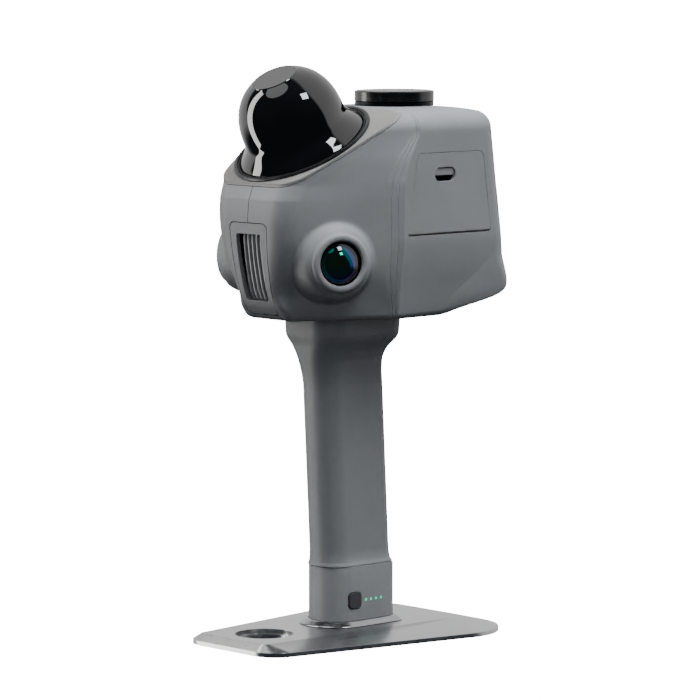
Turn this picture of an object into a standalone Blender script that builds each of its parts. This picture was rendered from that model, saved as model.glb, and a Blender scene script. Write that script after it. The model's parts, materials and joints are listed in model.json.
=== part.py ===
"""Hand-held laser scanner standing on its bench plate: a tilted lidar dome on a sloped deck,
two side cameras, a cooling vent, a card door, a rear screen, a raked battery grip and a metal foot
plate with a survey hole. Metres, +Z up, -Y is the front, the plate rests on Z = 0."""

import math

import bmesh
import bpy
from mathutils import Matrix, Vector

MM = 0.001

# Clearances and cuts
GAP = 0.3 * MM  # between pieces that touch on the real object
SEAM = 0.4 * MM  # split line between two casings
RUNNING = 0.35 * MM  # round a door, a button or a latch
OVERRUN = 30.0 * MM  # how far a cutter passes the surface that it opens
WELD = 0.01 * MM

# Head: overall form
HEAD_HEIGHT = 98.8 * MM
HEAD_HALF_WIDTH = 46.0 * MM
HEAD_REACH = 71.7 * MM  # from the centre back to the rearmost point
HEAD_FRONT = 58.4 * MM  # from the centre to the foremost point
HEAD_WALL = 2.4 * MM
FRONT_CORNER = 13.0 * MM
REAR_CORNER = 10.0 * MM
FOLD_RADIUS = 2.5 * MM
CREASE_RADIUS = 1.0 * MM
TOP_ROLL = 9.0 * MM  # radius of the edge round the top
TOP_CROWN = 1.5 * MM  # rise of the top over that edge
BOTTOM_ROLL = 3.0 * MM
SIDE_BEND_SHARE = 0.393  # height where the side walls start to lean in
NECK_GAP = 0.4 * MM
CORNER_STEPS = 4
REAR_STEPS = 4
FOLD_STEPS = 2

# Head: lidar on its deck
LIDAR_SETBACK = 34.3 * MM  # behind the foremost point
LIDAR_DROP = 16.6 * MM  # under the top
DECK_TILT = math.radians(28.94)
DECK_SKIN = 1.2 * MM
DECK_CORE = 3.0 * MM
DOME_FLARE = 31.0 * MM
DOME_NECK = 24.4 * MM
DOME_BULB = 25.2 * MM
DOME_HEIGHT = 36.5 * MM
DOME_FLAT = 11.3 * MM
DOME_WALL = 1.8 * MM
DOME_FULLNESS = 1.104  # how much taller than the bulb the curve is that its side follows
DOME_POWER = 2.2  # of that curve, 2 being an ellipse
DOME_SHARES = (0.86, 0.70, 0.52, 0.34, 0.17, 0.0)
DOME_BULB_HEIGHT = 12.5 * MM
DOME_NECK_HEIGHT = 6.8 * MM
DOME_LIP = 1.0 * MM
GASKET_WIDTH = 1.2 * MM
GASKET_RISE = 0.7 * MM
BEZEL_WIDTH = 1.6 * MM
BEZEL_RISE = 1.1 * MM
LIDAR_BORE = 27.0 * MM
LIDAR_FLANGE = 30.0 * MM
LIDAR_BASE_DEPTH = 9.5 * MM
LIDAR_BASE_RISE = 1.4 * MM
LIDAR_BASE_CAP = 23.8 * MM
LIDAR_SHAFT = 2.0 * MM
LIDAR_SHAFT_RISE = 7.0 * MM
MOTOR_RADIUS = 12.0 * MM
MOTOR_DEPTH = 11.0 * MM
ROTOR_RADIUS = 21.0 * MM
ROTOR_DISC = 3.0 * MM
ROTOR_HEIGHT = 20.0 * MM
MIRROR_WIDTH = 18.0 * MM
MIRROR_DEPTH = 14.0 * MM
MIRROR_TILT = math.radians(35.0)
MIRROR_CUT_SHARE = 0.75  # of the rotor's height, at the mirror's middle

# Head: cooling vent in the chin
VENT_LOW = 3.0 * MM  # over the head's bottom
VENT_HEIGHT = 43.3 * MM
VENT_TOP_HALF = 13.0 * MM
VENT_BOTTOM_HALF = 10.3 * MM
VENT_CORNER = 3.0 * MM
VENT_WALL = 2.2 * MM
GRILLE_MARGIN_TOP = 5.0 * MM
GRILLE_MARGIN_BOTTOM = 6.4 * MM
GRILLE_TOP_HALF = 8.9 * MM
GRILLE_BOTTOM_HALF = 7.8 * MM
GRILLE_CORNER = 1.6 * MM
FIN_COUNT = 5
FIN_PITCH = 2.9 * MM
FIN_THICKNESS = 1.0 * MM
FIN_SETBACK = 5.5 * MM
SINK_DEPTH = 18.4 * MM
SINK_PLATE = 3.0 * MM
SINK_HALF_WIDTH = 11.4 * MM
SINK_MARGIN = 1.6 * MM

# Head: side cameras
CAMERA_TURN = math.radians(69.3)  # from straight ahead
CAMERA_SIDE_SHARE = 0.7174
CAMERA_AHEAD_SHARE = 0.5582
CAMERA_UP_SHARE = 0.2814
CAMERA_RISE = 1.6 * MM  # the boss sits this much higher than the lens
BOSS_RADIUS = 17.2 * MM
BOSS_FACE = 13.6 * MM
BOSS_RISE = 6.6 * MM
BOSS_SINK = 1.4 * MM
BOSS_SKIRT = ((0.45, 0.80), (0.80, 0.45))  # width, rise
BOSS_GAP = 0.6 * MM  # over the head's uneven side
LENS_RADIUS = 10.3 * MM
LENS_SAG = 2.2 * MM
LENS_EDGE = 1.2 * MM
LENS_SHARES = (0.35, 0.65, 0.85, 1.0)
LENS_SETBACK = 1.0 * MM
BARREL_RADIUS = 9.0 * MM
BARREL_LENGTH = 9.0 * MM
CAMERA_BOARD = 17.0 * MM
CAMERA_BOARD_RISE = 2.0 * MM
CAMERA_BOARD_THICKNESS = 1.6 * MM

# Head: card door in the right side
DOOR_DROP = 20.6 * MM  # under the top
DOOR_SILL = 0.87 * MM  # over the height where the side starts to lean in
DOOR_THICKNESS = 2.2 * MM
DOOR_TOP_FRONT = 8.0 * MM
DOOR_TOP_MARGIN = 21.1 * MM  # ahead of the rearmost point
DOOR_BOTTOM_FRONT = 1.6 * MM
DOOR_BOTTOM_MARGIN = 15.7 * MM
DOOR_CORNER = 3.0 * MM
DOOR_BEAD = 1.6 * MM
PIN_RADIUS = 0.7 * MM
PIN_REACH = 1.6 * MM  # past each end of the door
LATCH_WIDTH = 13.4 * MM
LATCH_HEIGHT = 6.6 * MM
LATCH_DROP = 7.0 * MM  # under the door's top edge
LATCH_AHEAD = 3.5 * MM  # of the middle of that edge
LATCH_TRAVEL = 2.0 * MM
LATCH_ROUND_SHARE = 0.8
LATCH_SETBACK = 0.7 * MM
LATCH_PLATE = 1.4 * MM
LATCH_NOSE = 0.4 * MM  # the latch ends this far under the door's top edge
LATCH_PLATE_WIDTH = 9.0 * MM
TRAY_DROP = 3.4 * MM  # under the door's top edge
TRAY_LIFT = 6.1 * MM  # over its bottom edge
TRAY_MARGIN = 1.5 * MM  # inside its top corners
TRAY_WALL = 1.5 * MM
TRAY_DEPTH = 15.0 * MM
TRAY_EAR = 1.5 * MM
TRAY_EAR_MARGIN = 2.1 * MM  # inside the door's bottom corners
TRAY_EAR_DROP = 8.0 * MM  # under the tray's top
TRAY_EAR_LIFT = 5.0 * MM  # over its bottom
USB_WIDTH = 9.0 * MM
USB_HEIGHT = 3.3 * MM
USB_LENGTH = 6.0 * MM
USB_BORE_SHARE = 0.62
PORT_SPACE = 2.5 * MM  # beside and between the connectors
CARD_HEIGHT = 4.0 * MM
CARD_LENGTH = 9.0 * MM

# Head: rear screen
SCREEN_WIDTH = 64.0 * MM
SCREEN_HEIGHT = 46.0 * MM
SCREEN_CENTRE_SHARE = 0.5445
SCREEN_CORNER = 3.0 * MM
SCREEN_BORDER = 2.0 * MM
SCREEN_LEDGE = 2.0 * MM
SCREEN_FRAME_DEPTH = 3.0 * MM
SCREEN_PROUD = 0.6 * MM
GLASS_THICKNESS = 1.4 * MM
PANEL_THICKNESS = 3.6 * MM
PANEL_MARGIN = 1.0 * MM

# Head: cap on top
CAP_BEHIND_SHARE = 0.4993
CAP_RADIUS = 19.2 * MM
CAP_RISE = 7.2 * MM  # over the head
CAP_HEIGHT = 5.1 * MM
CAP_EDGE = 0.6 * MM
CAP_BASE_HEIGHT = 3.2 * MM
CAP_BASE_STEP = 0.4 * MM
CAP_SPIGOT = 12.0 * MM
CAP_SPIGOT_DEPTH = 4.0 * MM
CAP_STEM = 5.0 * MM

# Head: inside
NECK_WIDTH = 27.0 * MM
NECK_DEPTH = 39.0 * MM
NECK_BEHIND = 1.0 * MM
NECK_CORNER = 8.0 * MM
CHASSIS_THICKNESS = 3.0 * MM
CHASSIS_HALF_WIDTH = 23.4 * MM
CHASSIS_FRONT = 20.0 * MM
CHASSIS_MARGIN = 2.65 * MM  # to the casing behind it
CHASSIS_CORNER = 6.0 * MM
STANDOFF_RADIUS = 2.6 * MM
STANDOFF_HEIGHT = 2.4 * MM
BOARD_HALF_WIDTH = 27.0 * MM
BOARD_FRONT = 17.0 * MM
BOARD_OVERHANG = 1.5 * MM  # behind the chassis
BOARD_THICKNESS = 1.6 * MM
BOARD_CORNER = 2.0 * MM
BOARD_INSET = 4.0 * MM  # of the standoffs from its edges
COOLER_SIZE = 30.0 * MM
COOLER_HEIGHT = 8.0 * MM
COOLER_GROOVE = 2.0 * MM
COOLER_GROOVES = 5
COOLER_GROOVE_SHARE = 0.6  # of the cooler's height
SCREW_HEAD = 2.6 * MM
SCREW_HEAD_DEPTH = 1.1 * MM
SCREW_RADIUS = 1.2 * MM
SCREW_LENGTH = 4.2 * MM
SCREW_RECESS = 0.2 * MM
SCREW_SLOT = 0.8 * MM
SCREW_SIDE = 18.0 * MM
SCREW_FRONT = 13.0 * MM
SCREW_MARGIN = 6.5 * MM  # inside the chassis

# Grip
GRIP_HEIGHT = 119.9 * MM
GRIP_WIDTH = 23.0 * MM
GRIP_DEPTH = 38.5 * MM
GRIP_NOSE = 10.5 * MM
GRIP_HEEL = 3.5 * MM
GRIP_WALL = 2.2 * MM
GRIP_BOTTOM_BEHIND = 4.6 * MM
GRIP_RAKE = math.radians(2.94)
GRIP_TOP_SOLID = 10.0 * MM
NOSE_STEPS = 6
HEEL_STEPS = 3
WIRE_BORE = 5.0 * MM
BATTERY_LIFT = 17.1 * MM  # over the grip's lower end
BATTERY_DROP = 36.8 * MM  # under its upper end
BATTERY_GAP = 0.4 * MM

# Foot of the grip
FOOT_LIFT = 0.4 * MM  # over the plate
FOOT_HEIGHT = 28.2 * MM
FOOT_WIDTH = 26.0 * MM
FOOT_DEPTH = 39.8 * MM
FOOT_NOSE = 11.5 * MM
FOOT_HEEL = 3.5 * MM
FOOT_WALL = 2.0 * MM
FOOT_BEHIND = 5.1 * MM
FOOT_BLOCK_HEIGHT = 6.0 * MM
RING_WIDTH = 4.4 * MM
RING_SHOULDER = 1.4 * MM
RING_HEIGHT = 2.4 * MM
BUTTON_SIZE = 8.2 * MM
BUTTON_CORNER = 2.2 * MM
BUTTON_PROUD = 0.5 * MM
BUTTON_UP = 11.8 * MM  # over the foot's lower end
BUTTON_AHEAD = 7.0 * MM  # of the foot's centre
BUTTON_FLANGE = 1.0 * MM
BUTTON_TRAVEL = 0.7 * MM
LED_RADIUS = 0.7 * MM
LED_DROP = 0.3 * MM  # under the button's centre
LED_BEHIND = 7.4 * MM  # behind the button's centre
LED_PITCH = 3.25 * MM
LED_COUNT = 4
LED_PROUD = 0.1 * MM
CHARGE_BOARD_THICKNESS = 1.2 * MM
CHARGE_BOARD_LIFT = 0.8 * MM  # over the foot's block
CHARGE_BOARD_HEIGHT = 18.0 * MM
CHARGE_BOARD_FRONT = 11.1 * MM  # ahead of the foot's centre
CHARGE_BOARD_BACK = 13.9 * MM
CHARGE_BOARD_SETBACK = 3.9 * MM

# Bench plate
PLATE_HALF_LENGTH = 72.0 * MM
PLATE_FRONT_HALF = 30.6 * MM
PLATE_BACK_HALF = 58.6 * MM
PLATE_FRONT_CORNER = 13.0 * MM
PLATE_BACK_CORNER = 28.0 * MM
PLATE_LIFT = 0.4 * MM
PLATE_EDGE = 2.5 * MM
PLATE_TOP = 6.0 * MM
FLAT_FRONT_MARGIN = 3.3 * MM  # the flat's front edge, behind the plate's
FLAT_BACK_MARGIN = 13.9 * MM
FLAT_FRONT_HALF = 23.4 * MM
FLAT_BACK_HALF = 28.0 * MM
FLAT_FRONT_CORNER = 2.5 * MM
FLAT_BACK_CORNER = 10.0 * MM
PLATE_STEPS = 5
HOLE_MARGIN = 23.4 * MM  # behind the plate's front edge
HOLE_RADIUS = 13.85 * MM
HOLE_LEDGE = 1.9 * MM
HOLE_LEDGE_DEPTH = 2.4 * MM
PAD_THICKNESS = 1.2 * MM
PAD_INSET = 6.0 * MM
PAD_HOLE_MARGIN = 3.0 * MM
BASE_SCREW_HEAD = 9.0 * MM
BASE_SCREW_HEAD_DEPTH = 2.4 * MM
BASE_SCREW_RECESS = 0.5 * MM
BASE_SCREW_RADIUS = 3.1 * MM
BASE_SCREW_GRIP = 5.2 * MM  # into the foot's block
COIN_SLOT_WIDTH = 1.8 * MM
COIN_SLOT_DEPTH = 1.2 * MM

# Counts of sides of the round pieces
FINE = 48
ROUND = 32
SMALL = 16
TINY = 12
SHARP_ANGLE = math.radians(35.0)

# Levels of the head, bottom to top. Height is a share of the head's height, the places ahead of
# and behind the centre are shares of HEAD_FRONT and HEAD_REACH, the places to the side are shares
# of HEAD_HALF_WIDTH and the front corner's radius is a share of FRONT_CORNER.
# height, front, corner side, corner radius, crease side, crease behind, band side, band behind,
# fold side, fold behind, rear side, rear behind
HEAD_LEVEL_SHARES = (
    (0.000, 0.785, 0.330, 0.32, 0.835, -0.058, 0.893, -0.003, 0.880, 0.270, 0.855, 0.440),
    (0.028, 0.815, 0.330, 0.32, 0.840, -0.060, 0.900, -0.004, 0.893, 0.380, 0.890, 0.560),
    (0.055, 0.852, 0.325, 0.32, 0.848, -0.065, 0.908, -0.006, 0.905, 0.420, 0.925, 0.740),
    (0.080, 0.878, 0.310, 0.34, 0.857, -0.075, 0.917, -0.008, 0.912, 0.445, 0.955, 0.905),
    (0.115, 0.903, 0.285, 0.40, 0.868, -0.090, 0.928, -0.012, 0.926, 0.500, 0.975, 0.985),
    (0.155, 0.924, 0.300, 0.55, 0.880, -0.105, 0.941, -0.016, 0.940, 0.575, 0.985, 1.000),
    (0.220, 0.948, 0.375, 0.85, 0.893, -0.125, 0.963, -0.018, 0.962, 0.690, 0.995, 0.992),
    (0.300, 0.972, 0.455, 1.00, 0.903, -0.135, 0.985, -0.013, 0.985, 0.800, 1.000, 0.976),
    (0.393, 0.990, 0.510, 1.00, 0.906, -0.137, 1.000, -0.011, 1.000, 0.810, 1.000, 0.958),
    (0.485, 1.000, 0.530, 1.00, 0.906, -0.138, 1.000, -0.010, 1.000, 0.795, 1.000, 0.940),
    (0.583, 0.985, 0.545, 1.00, 0.908, -0.137, 1.000, -0.009, 1.000, 0.770, 1.000, 0.922),
    (0.655, 0.936, 0.560, 1.00, 0.914, -0.123, 1.000, -0.002, 1.000, 0.740, 1.000, 0.907),
    (0.767, 0.930, 0.585, 1.00, 0.935, -0.050, 1.000, 0.043, 1.000, 0.690, 1.000, 0.887),
    (0.850, 0.930, 0.600, 1.00, 0.955, 0.050, 1.000, 0.105, 1.000, 0.640, 1.000, 0.872),
    (0.893, 0.930, 0.610, 1.00, 0.962, 0.100, 1.000, 0.136, 1.000, 0.610, 1.000, 0.864),
)
TOP_ROLL_ANGLES = (28.0, 52.0, 72.0, 90.0)
TOP_CROWN_SHARES = ((0.78, 0.72), (0.50, 1.0))  # width, rise

# Sections of the grip, bottom to top: share of its height, widening over the plain section and
# forward shift as shares of its width, then nose and heel radius as shares of their plain values.
GRIP_LEVEL_SHARES = (
    (0.000, 0.130, 0.055, 0.000, 1.09, 1.0),
    (0.005, 0.120, 0.050, 0.000, 1.09, 1.0),
    (0.014, 0.060, 0.025, 0.000, 1.05, 1.0),
    (0.030, 0.018, 0.008, 0.000, 1.00, 1.0),
    (0.051, 0.000, 0.000, 0.000, 1.00, 1.0),
    (0.730, 0.000, 0.000, 0.000, 1.00, 1.0),
    (0.778, 0.030, 0.010, 0.020, 1.00, 1.1),
    (0.830, 0.100, 0.080, 0.030, 1.00, 1.3),
    (0.866, 0.240, 0.200, 0.000, 1.03, 1.6),
    (0.892, 0.420, 0.340, -0.055, 1.08, 1.9),
    (0.907, 0.550, 0.450, -0.080, 1.10, 2.1),
    (0.929, 0.630, 0.520, -0.080, 1.13, 2.2),
    (1.000, 0.670, 0.550, -0.105, 1.15, 2.3),
)

# Places that follow from those sizes
HOLE_AHEAD = PLATE_HALF_LENGTH - HOLE_MARGIN
FLAT_FRONT = PLATE_HALF_LENGTH - FLAT_FRONT_MARGIN
FLAT_BACK = PLATE_HALF_LENGTH - FLAT_BACK_MARGIN
FOOT_BOTTOM = PLATE_TOP + FOOT_LIFT
FOOT_TOP = FOOT_BOTTOM + FOOT_HEIGHT
GRIP_BOTTOM = FOOT_TOP + GAP
GRIP_TOP = GRIP_BOTTOM + GRIP_HEIGHT
HEAD_BOTTOM = GRIP_TOP + NECK_GAP
HEAD_TOP = HEAD_BOTTOM + HEAD_HEIGHT
BUTTON_HEIGHT = FOOT_BOTTOM + BUTTON_UP
BUTTON_BEHIND = FOOT_BEHIND - BUTTON_AHEAD
BASE_SCREW_TIP = FOOT_BOTTOM + BASE_SCREW_GRIP
LIDAR_AHEAD = HEAD_FRONT - LIDAR_SETBACK
LIDAR_HEIGHT = HEAD_TOP - LIDAR_DROP
VENT_BOTTOM = HEAD_BOTTOM + VENT_LOW
VENT_TOP = VENT_BOTTOM + VENT_HEIGHT
GRILLE_TOP = VENT_TOP - GRILLE_MARGIN_TOP
GRILLE_BOTTOM = VENT_BOTTOM + GRILLE_MARGIN_BOTTOM
SINK_BACK = HEAD_FRONT - SINK_DEPTH
CAMERA_SIDE = CAMERA_SIDE_SHARE * HEAD_HALF_WIDTH
CAMERA_AHEAD = CAMERA_AHEAD_SHARE * HEAD_FRONT
CAMERA_HEIGHT = HEAD_BOTTOM + CAMERA_UP_SHARE * HEAD_HEIGHT
DOOR_TOP = HEAD_TOP - DOOR_DROP
DOOR_BOTTOM = HEAD_BOTTOM + SIDE_BEND_SHARE * HEAD_HEIGHT + DOOR_SILL
DOOR_TOP_BACK = HEAD_REACH - DOOR_TOP_MARGIN
DOOR_BOTTOM_BACK = HEAD_REACH - DOOR_BOTTOM_MARGIN
LATCH_TOP = DOOR_TOP - LATCH_DROP
LATCH_BOTTOM = LATCH_TOP - LATCH_HEIGHT
LATCH_CENTRE = (DOOR_TOP_FRONT + DOOR_TOP_BACK) / 2 - LATCH_AHEAD
TRAY_TOP = DOOR_TOP - TRAY_DROP
TRAY_BOTTOM = DOOR_BOTTOM + TRAY_LIFT
TRAY_FRONT = DOOR_TOP_FRONT + TRAY_MARGIN
TRAY_BACK = DOOR_TOP_BACK - TRAY_MARGIN
TRAY_EAR_FRONT = DOOR_BOTTOM_FRONT + TRAY_EAR_MARGIN
TRAY_EAR_BACK = DOOR_BOTTOM_BACK - TRAY_EAR_MARGIN
TRAY_EAR_TOP = TRAY_TOP - TRAY_EAR_DROP
TRAY_EAR_BOTTOM = TRAY_BOTTOM + TRAY_EAR_LIFT
CAP_BEHIND = CAP_BEHIND_SHARE * HEAD_REACH
CAP_TOP = HEAD_TOP + CAP_RISE
CHASSIS_BACK = HEAD_LEVEL_SHARES[0][-1] * HEAD_REACH - BOTTOM_ROLL - HEAD_WALL - CHASSIS_MARGIN
BOARD_BACK = CHASSIS_BACK + BOARD_OVERHANG
SCREW_BACK = CHASSIS_BACK - SCREW_MARGIN
BATTERY_LOW = GRIP_BOTTOM + BATTERY_LIFT
BATTERY_HIGH = GRIP_TOP - BATTERY_DROP

for old in list(bpy.data.objects):
    bpy.data.objects.remove(old, do_unlink=True)
PARTS = bpy.data.collections.new("laser_scanner")
CUTTERS = bpy.data.collections.new("cutters")
bpy.context.scene.collection.children.link(PARTS)
bpy.context.scene.collection.children.link(CUTTERS)


# Materials

def finish(colour, roughness, metallic=0.0):
    """What a piece is made of, given to the piece when it is made."""
    return (colour, roughness, metallic)


CASING = finish((0.215, 0.218, 0.225), 0.5)
DECK_GREY = finish((0.27, 0.265, 0.255), 0.5)
GLOSS_BLACK = finish((0.006, 0.006, 0.007), 0.06)
RUBBER = finish((0.012, 0.012, 0.012), 0.8)
DARK_METAL = finish((0.09, 0.09, 0.095), 0.25, 1.0)
ALUMINIUM = finish((0.62, 0.62, 0.63), 0.3, 1.0)
STEEL = finish((0.45, 0.45, 0.46), 0.3, 1.0)
FINS = finish((0.12, 0.125, 0.13), 0.45, 0.6)
MIRROR = finish((0.8, 0.8, 0.8), 0.05, 1.0)
LENS_GLASS = finish((0.01, 0.02, 0.018), 0.03)
BOARD_GREEN = finish((0.01, 0.09, 0.04), 0.6)
CELL_BLUE = finish((0.02, 0.06, 0.3), 0.4)
BUTTON_GREY = finish((0.02, 0.022, 0.024), 0.5)
LED_GREEN = finish((0.02, 0.55, 0.35), 0.3)


def paint(thing, look):
    colour, roughness, metallic = look
    material = bpy.data.materials.new(thing.name)
    material.use_nodes = True
    shader = material.node_tree.nodes["Principled BSDF"]
    shader.inputs["Base Color"].default_value = (*colour, 1.0)
    shader.inputs["Roughness"].default_value = roughness
    shader.inputs["Metallic"].default_value = metallic
    thing.data.materials.clear()
    thing.data.materials.append(material)


# Making objects

IDENTITY = Matrix.Identity(4)
SIDEWAYS = Matrix(((0, 0, 1, 0), (1, 0, 0, 0), (0, 1, 0, 0), (0, 0, 0, 1)))  # outline in YZ, +X out
FORWARD = Matrix(((1, 0, 0, 0), (0, 0, -1, 0), (0, 1, 0, 0), (0, 0, 0, 1)))  # outline in XZ, -Y out


def at(x, y, z):
    return Matrix.Translation((x, y, z))


def add(name, mesh, look=None, place=IDENTITY):
    """An object of the part where a look is given, and else a cutter."""
    thing = bpy.data.objects.new(name, mesh)
    thing.matrix_world = place
    if look is None:
        CUTTERS.objects.link(thing)
        thing.hide_render = True
        thing.display_type = "WIRE"
    else:
        PARTS.objects.link(thing)
        paint(thing, look)
    return thing


def mesh_from(name, work):
    mesh = bpy.data.meshes.new(name)
    work.to_mesh(mesh)
    work.free()
    return mesh


def box(name, size, centre, look=None, place=IDENTITY):
    work = bmesh.new()
    bmesh.ops.create_cube(work, size=1.0, matrix=at(*centre) @ Matrix.Diagonal((*size, 1.0)))
    return add(name, mesh_from(name, work), look, place)


def rod(name, radius, low, high, look=None, place=IDENTITY, sides=ROUND):
    """A cylinder about the local Z axis, from low to high."""
    work = bmesh.new()
    middle = at(0, 0, (low + high) / 2)
    bmesh.ops.create_cone(
        work, cap_ends=True, segments=sides, radius1=radius, radius2=radius, depth=high - low, matrix=middle
    )
    thing = add(name, mesh_from(name, work), look, place)
    smooth(thing)
    return thing


def smooth(thing):
    thing.data.shade_smooth()
    thing.data.set_sharp_from_angle(angle=SHARP_ANGLE)


def turned(name, profile, look=None, place=IDENTITY, closed=False, steps=FINE):
    """Radius and height pairs, down the outer side, turned about the local Z axis."""
    mesh = bpy.data.meshes.new(name)
    count = len(profile)
    edges = [(i, i + 1) for i in range(count - 1)]
    if closed:
        edges.append((count - 1, 0))
    mesh.from_pydata([(radius, 0.0, height) for radius, height in profile], edges, [])
    thing = add(name, mesh, look, place)
    screw = thing.modifiers.new("turn", "SCREW")
    screw.axis = "Z"
    screw.steps = steps
    screw.render_steps = steps
    screw.use_merge_vertices = True
    screw.merge_threshold = WELD
    screw.use_smooth_shade = True
    return thing


def rounded(corners):
    """A closed outline from (x, y, radius, steps) corners, each turned into an arc."""
    points = []
    count = len(corners)
    for i, (x, y, radius, steps) in enumerate(corners):
        here = Vector((x, y))
        back = (Vector(corners[i - 1][:2]) - here).normalized()
        ahead = (Vector(corners[(i + 1) % count][:2]) - here).normalized()
        turn = math.pi - back.angle(ahead)
        reach = radius * math.tan(turn / 2)
        centre = here + (back + ahead).normalized() * (radius / math.cos(turn / 2))
        first = here + back * reach - centre
        side = 1.0 if back.x * ahead.y - back.y * ahead.x < 0 else -1.0
        for step in range(steps + 1):
            angle = side * turn * step / steps
            cos, sin = math.cos(angle), math.sin(angle)
            points.append((
                centre.x + first.x * cos - first.y * sin,
                centre.y + first.x * sin + first.y * cos,
            ))
    return points


def inward(corners, inset):
    """The same corners with every side moved in by inset, and the radii with them."""
    moved = []
    count = len(corners)
    for i, (x, y, radius, steps) in enumerate(corners):
        here = Vector((x, y))
        before = (here - Vector(corners[i - 1][:2])).normalized()
        after = (Vector(corners[(i + 1) % count][:2]) - here).normalized()
        normal_before = Vector((-before.y, before.x))
        normal_after = Vector((-after.y, after.x))
        shift = (normal_before + normal_after) * (inset / (1 + normal_before.dot(normal_after)))
        hollow = before.x * after.y - before.y * after.x < 0
        new_radius = radius if hollow else max(radius - inset, CREASE_RADIUS)
        moved.append((x + shift.x, y + shift.y, new_radius, steps))
    return moved


def rectangle(half_width, low, high, radius, steps=4):
    return [
        (-half_width, low, radius, steps),
        (half_width, low, radius, steps),
        (half_width, high, radius, steps),
        (-half_width, high, radius, steps),
    ]


def mirrored(right_side):
    """Corners on +X, front to back, with their twins on -X."""
    return right_side + [(-x, y, radius, steps) for x, y, radius, steps in reversed(right_side)]


def sheet(name, points, low, high, look=None, place=IDENTITY):
    """A flat outline between two heights of its own frame."""
    curve = bpy.data.curves.new(name, "CURVE")
    curve.dimensions = "2D"
    curve.fill_mode = "BOTH"
    curve.extrude = (high - low) / 2
    spline = curve.splines.new("POLY")
    spline.points.add(len(points) - 1)
    for point, (x, y) in zip(spline.points, points):
        point.co = (x, y, 0.0, 1.0)
    spline.use_cyclic_u = True
    drawn = bpy.data.objects.new(name, curve)
    drawn.matrix_world = place @ at(0, 0, (low + high) / 2)
    CUTTERS.objects.link(drawn)
    bpy.context.view_layer.update()
    mesh = bpy.data.meshes.new_from_object(drawn.evaluated_get(bpy.context.evaluated_depsgraph_get()))
    where = drawn.matrix_world.copy()
    bpy.data.objects.remove(drawn, do_unlink=True)
    work = bmesh.new()
    work.from_mesh(mesh)
    bmesh.ops.remove_doubles(work, verts=work.verts, dist=WELD)
    bmesh.ops.recalc_face_normals(work, faces=work.faces)
    work.to_mesh(mesh)
    work.free()
    return add(name, mesh, look, where)


def loft(name, sections, look=None, place=IDENTITY):
    """Closed sections with equally many points, bottom to top, as (points, height)."""
    work = bmesh.new()
    rings = [[work.verts.new((x, y, height)) for x, y in points] for points, height in sections]
    count = len(rings[0])
    for low, high in zip(rings, rings[1:]):
        for i in range(count):
            work.faces.new((low[i], low[(i + 1) % count], high[(i + 1) % count], high[i]))
    work.faces.new(list(reversed(rings[0])))
    work.faces.new(rings[-1])
    thing = add(name, mesh_from(name, work), look, place)
    smooth(thing)
    return thing


def boolean(thing, other, operation):
    modifier = thing.modifiers.new(f"{operation.lower()}_{other.name}", "BOOLEAN")
    modifier.operation = operation
    modifier.solver = "EXACT"
    modifier.object = other


def cut(thing, *others):
    for other in others:
        boolean(thing, other, "DIFFERENCE")


def join(thing, *others):
    for other in others:
        boolean(thing, other, "UNION")


def keep(thing, other):
    boolean(thing, other, "INTERSECT")


# Head form

def rear_wall(share):
    """How far back the rear wall is at a share of the head's height, and its lean there."""
    for low, high in zip(HEAD_LEVEL_SHARES, HEAD_LEVEL_SHARES[1:]):
        if share <= high[0]:
            break
    rise = (high[0] - low[0]) * HEAD_HEIGHT
    drawn_in = (low[-1] - high[-1]) * HEAD_REACH
    blend = (share - low[0]) / (high[0] - low[0])
    return low[-1] * HEAD_REACH - blend * drawn_in, math.atan2(drawn_in, rise)


def head_corners(shares):
    """The right side's corners of one level, front to back, then the left side's."""
    (_, front, corner, radius, crease, crease_y, band, band_y, fold, fold_y, rear, rear_y) = shares
    right = [
        (corner * HEAD_HALF_WIDTH, -front * HEAD_FRONT, radius * FRONT_CORNER, CORNER_STEPS),
        (crease * HEAD_HALF_WIDTH, crease_y * HEAD_REACH, CREASE_RADIUS, 1),
        (band * HEAD_HALF_WIDTH, band_y * HEAD_REACH, FOLD_RADIUS, FOLD_STEPS),
        (fold * HEAD_HALF_WIDTH, fold_y * HEAD_REACH, FOLD_RADIUS, 1),
        (rear * HEAD_HALF_WIDTH, rear_y * HEAD_REACH, REAR_CORNER, REAR_STEPS),
    ]
    return mirrored(right)


def head_sections(inset):
    """The head's form with all its sides moved in by inset."""
    sections = []
    for shares in HEAD_LEVEL_SHARES:
        share = shares[0]
        roll = BOTTOM_ROLL * max(0.0, 1.0 - share * HEAD_HEIGHT / BOTTOM_ROLL) ** 2
        height = HEAD_BOTTOM + share * HEAD_HEIGHT + inset * (1.0 - 2.0 * share)
        sections.append((rounded(inward(head_corners(shares), inset + roll)), height))
    last = HEAD_LEVEL_SHARES[-1]
    shoulder = HEAD_TOP - TOP_CROWN - TOP_ROLL - inset
    for degrees in TOP_ROLL_ANGLES:
        angle = math.radians(degrees)
        points = rounded(inward(head_corners(last), inset + TOP_ROLL * (1.0 - math.cos(angle))))
        sections.append((points, shoulder + TOP_ROLL * math.sin(angle)))
    flat = sections[-1][0]
    for width_share, rise_share in TOP_CROWN_SHARES:
        points = [(x * width_share, CAP_BEHIND + (y - CAP_BEHIND) * width_share) for x, y in flat]
        sections.append((points, HEAD_TOP - inset - TOP_CROWN * (1.0 - rise_share)))
    return sections


def head_form(name, inset, look=None):
    return loft(name, head_sections(inset), look)


LIDAR = at(0, -LIDAR_AHEAD, LIDAR_HEIGHT) @ Matrix.Rotation(DECK_TILT, 4, "X")
WIDE = 4.0 * HEAD_REACH


def deck_layer(name, low, high):
    """All the space between two heights over the deck."""
    return box(name, (WIDE, WIDE, high - low), (0, 0, (low + high) / 2), None, LIDAR)


CAVITY = head_form("cavity", HEAD_WALL)
NECK = at(0, NECK_BEHIND, 0)


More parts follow.
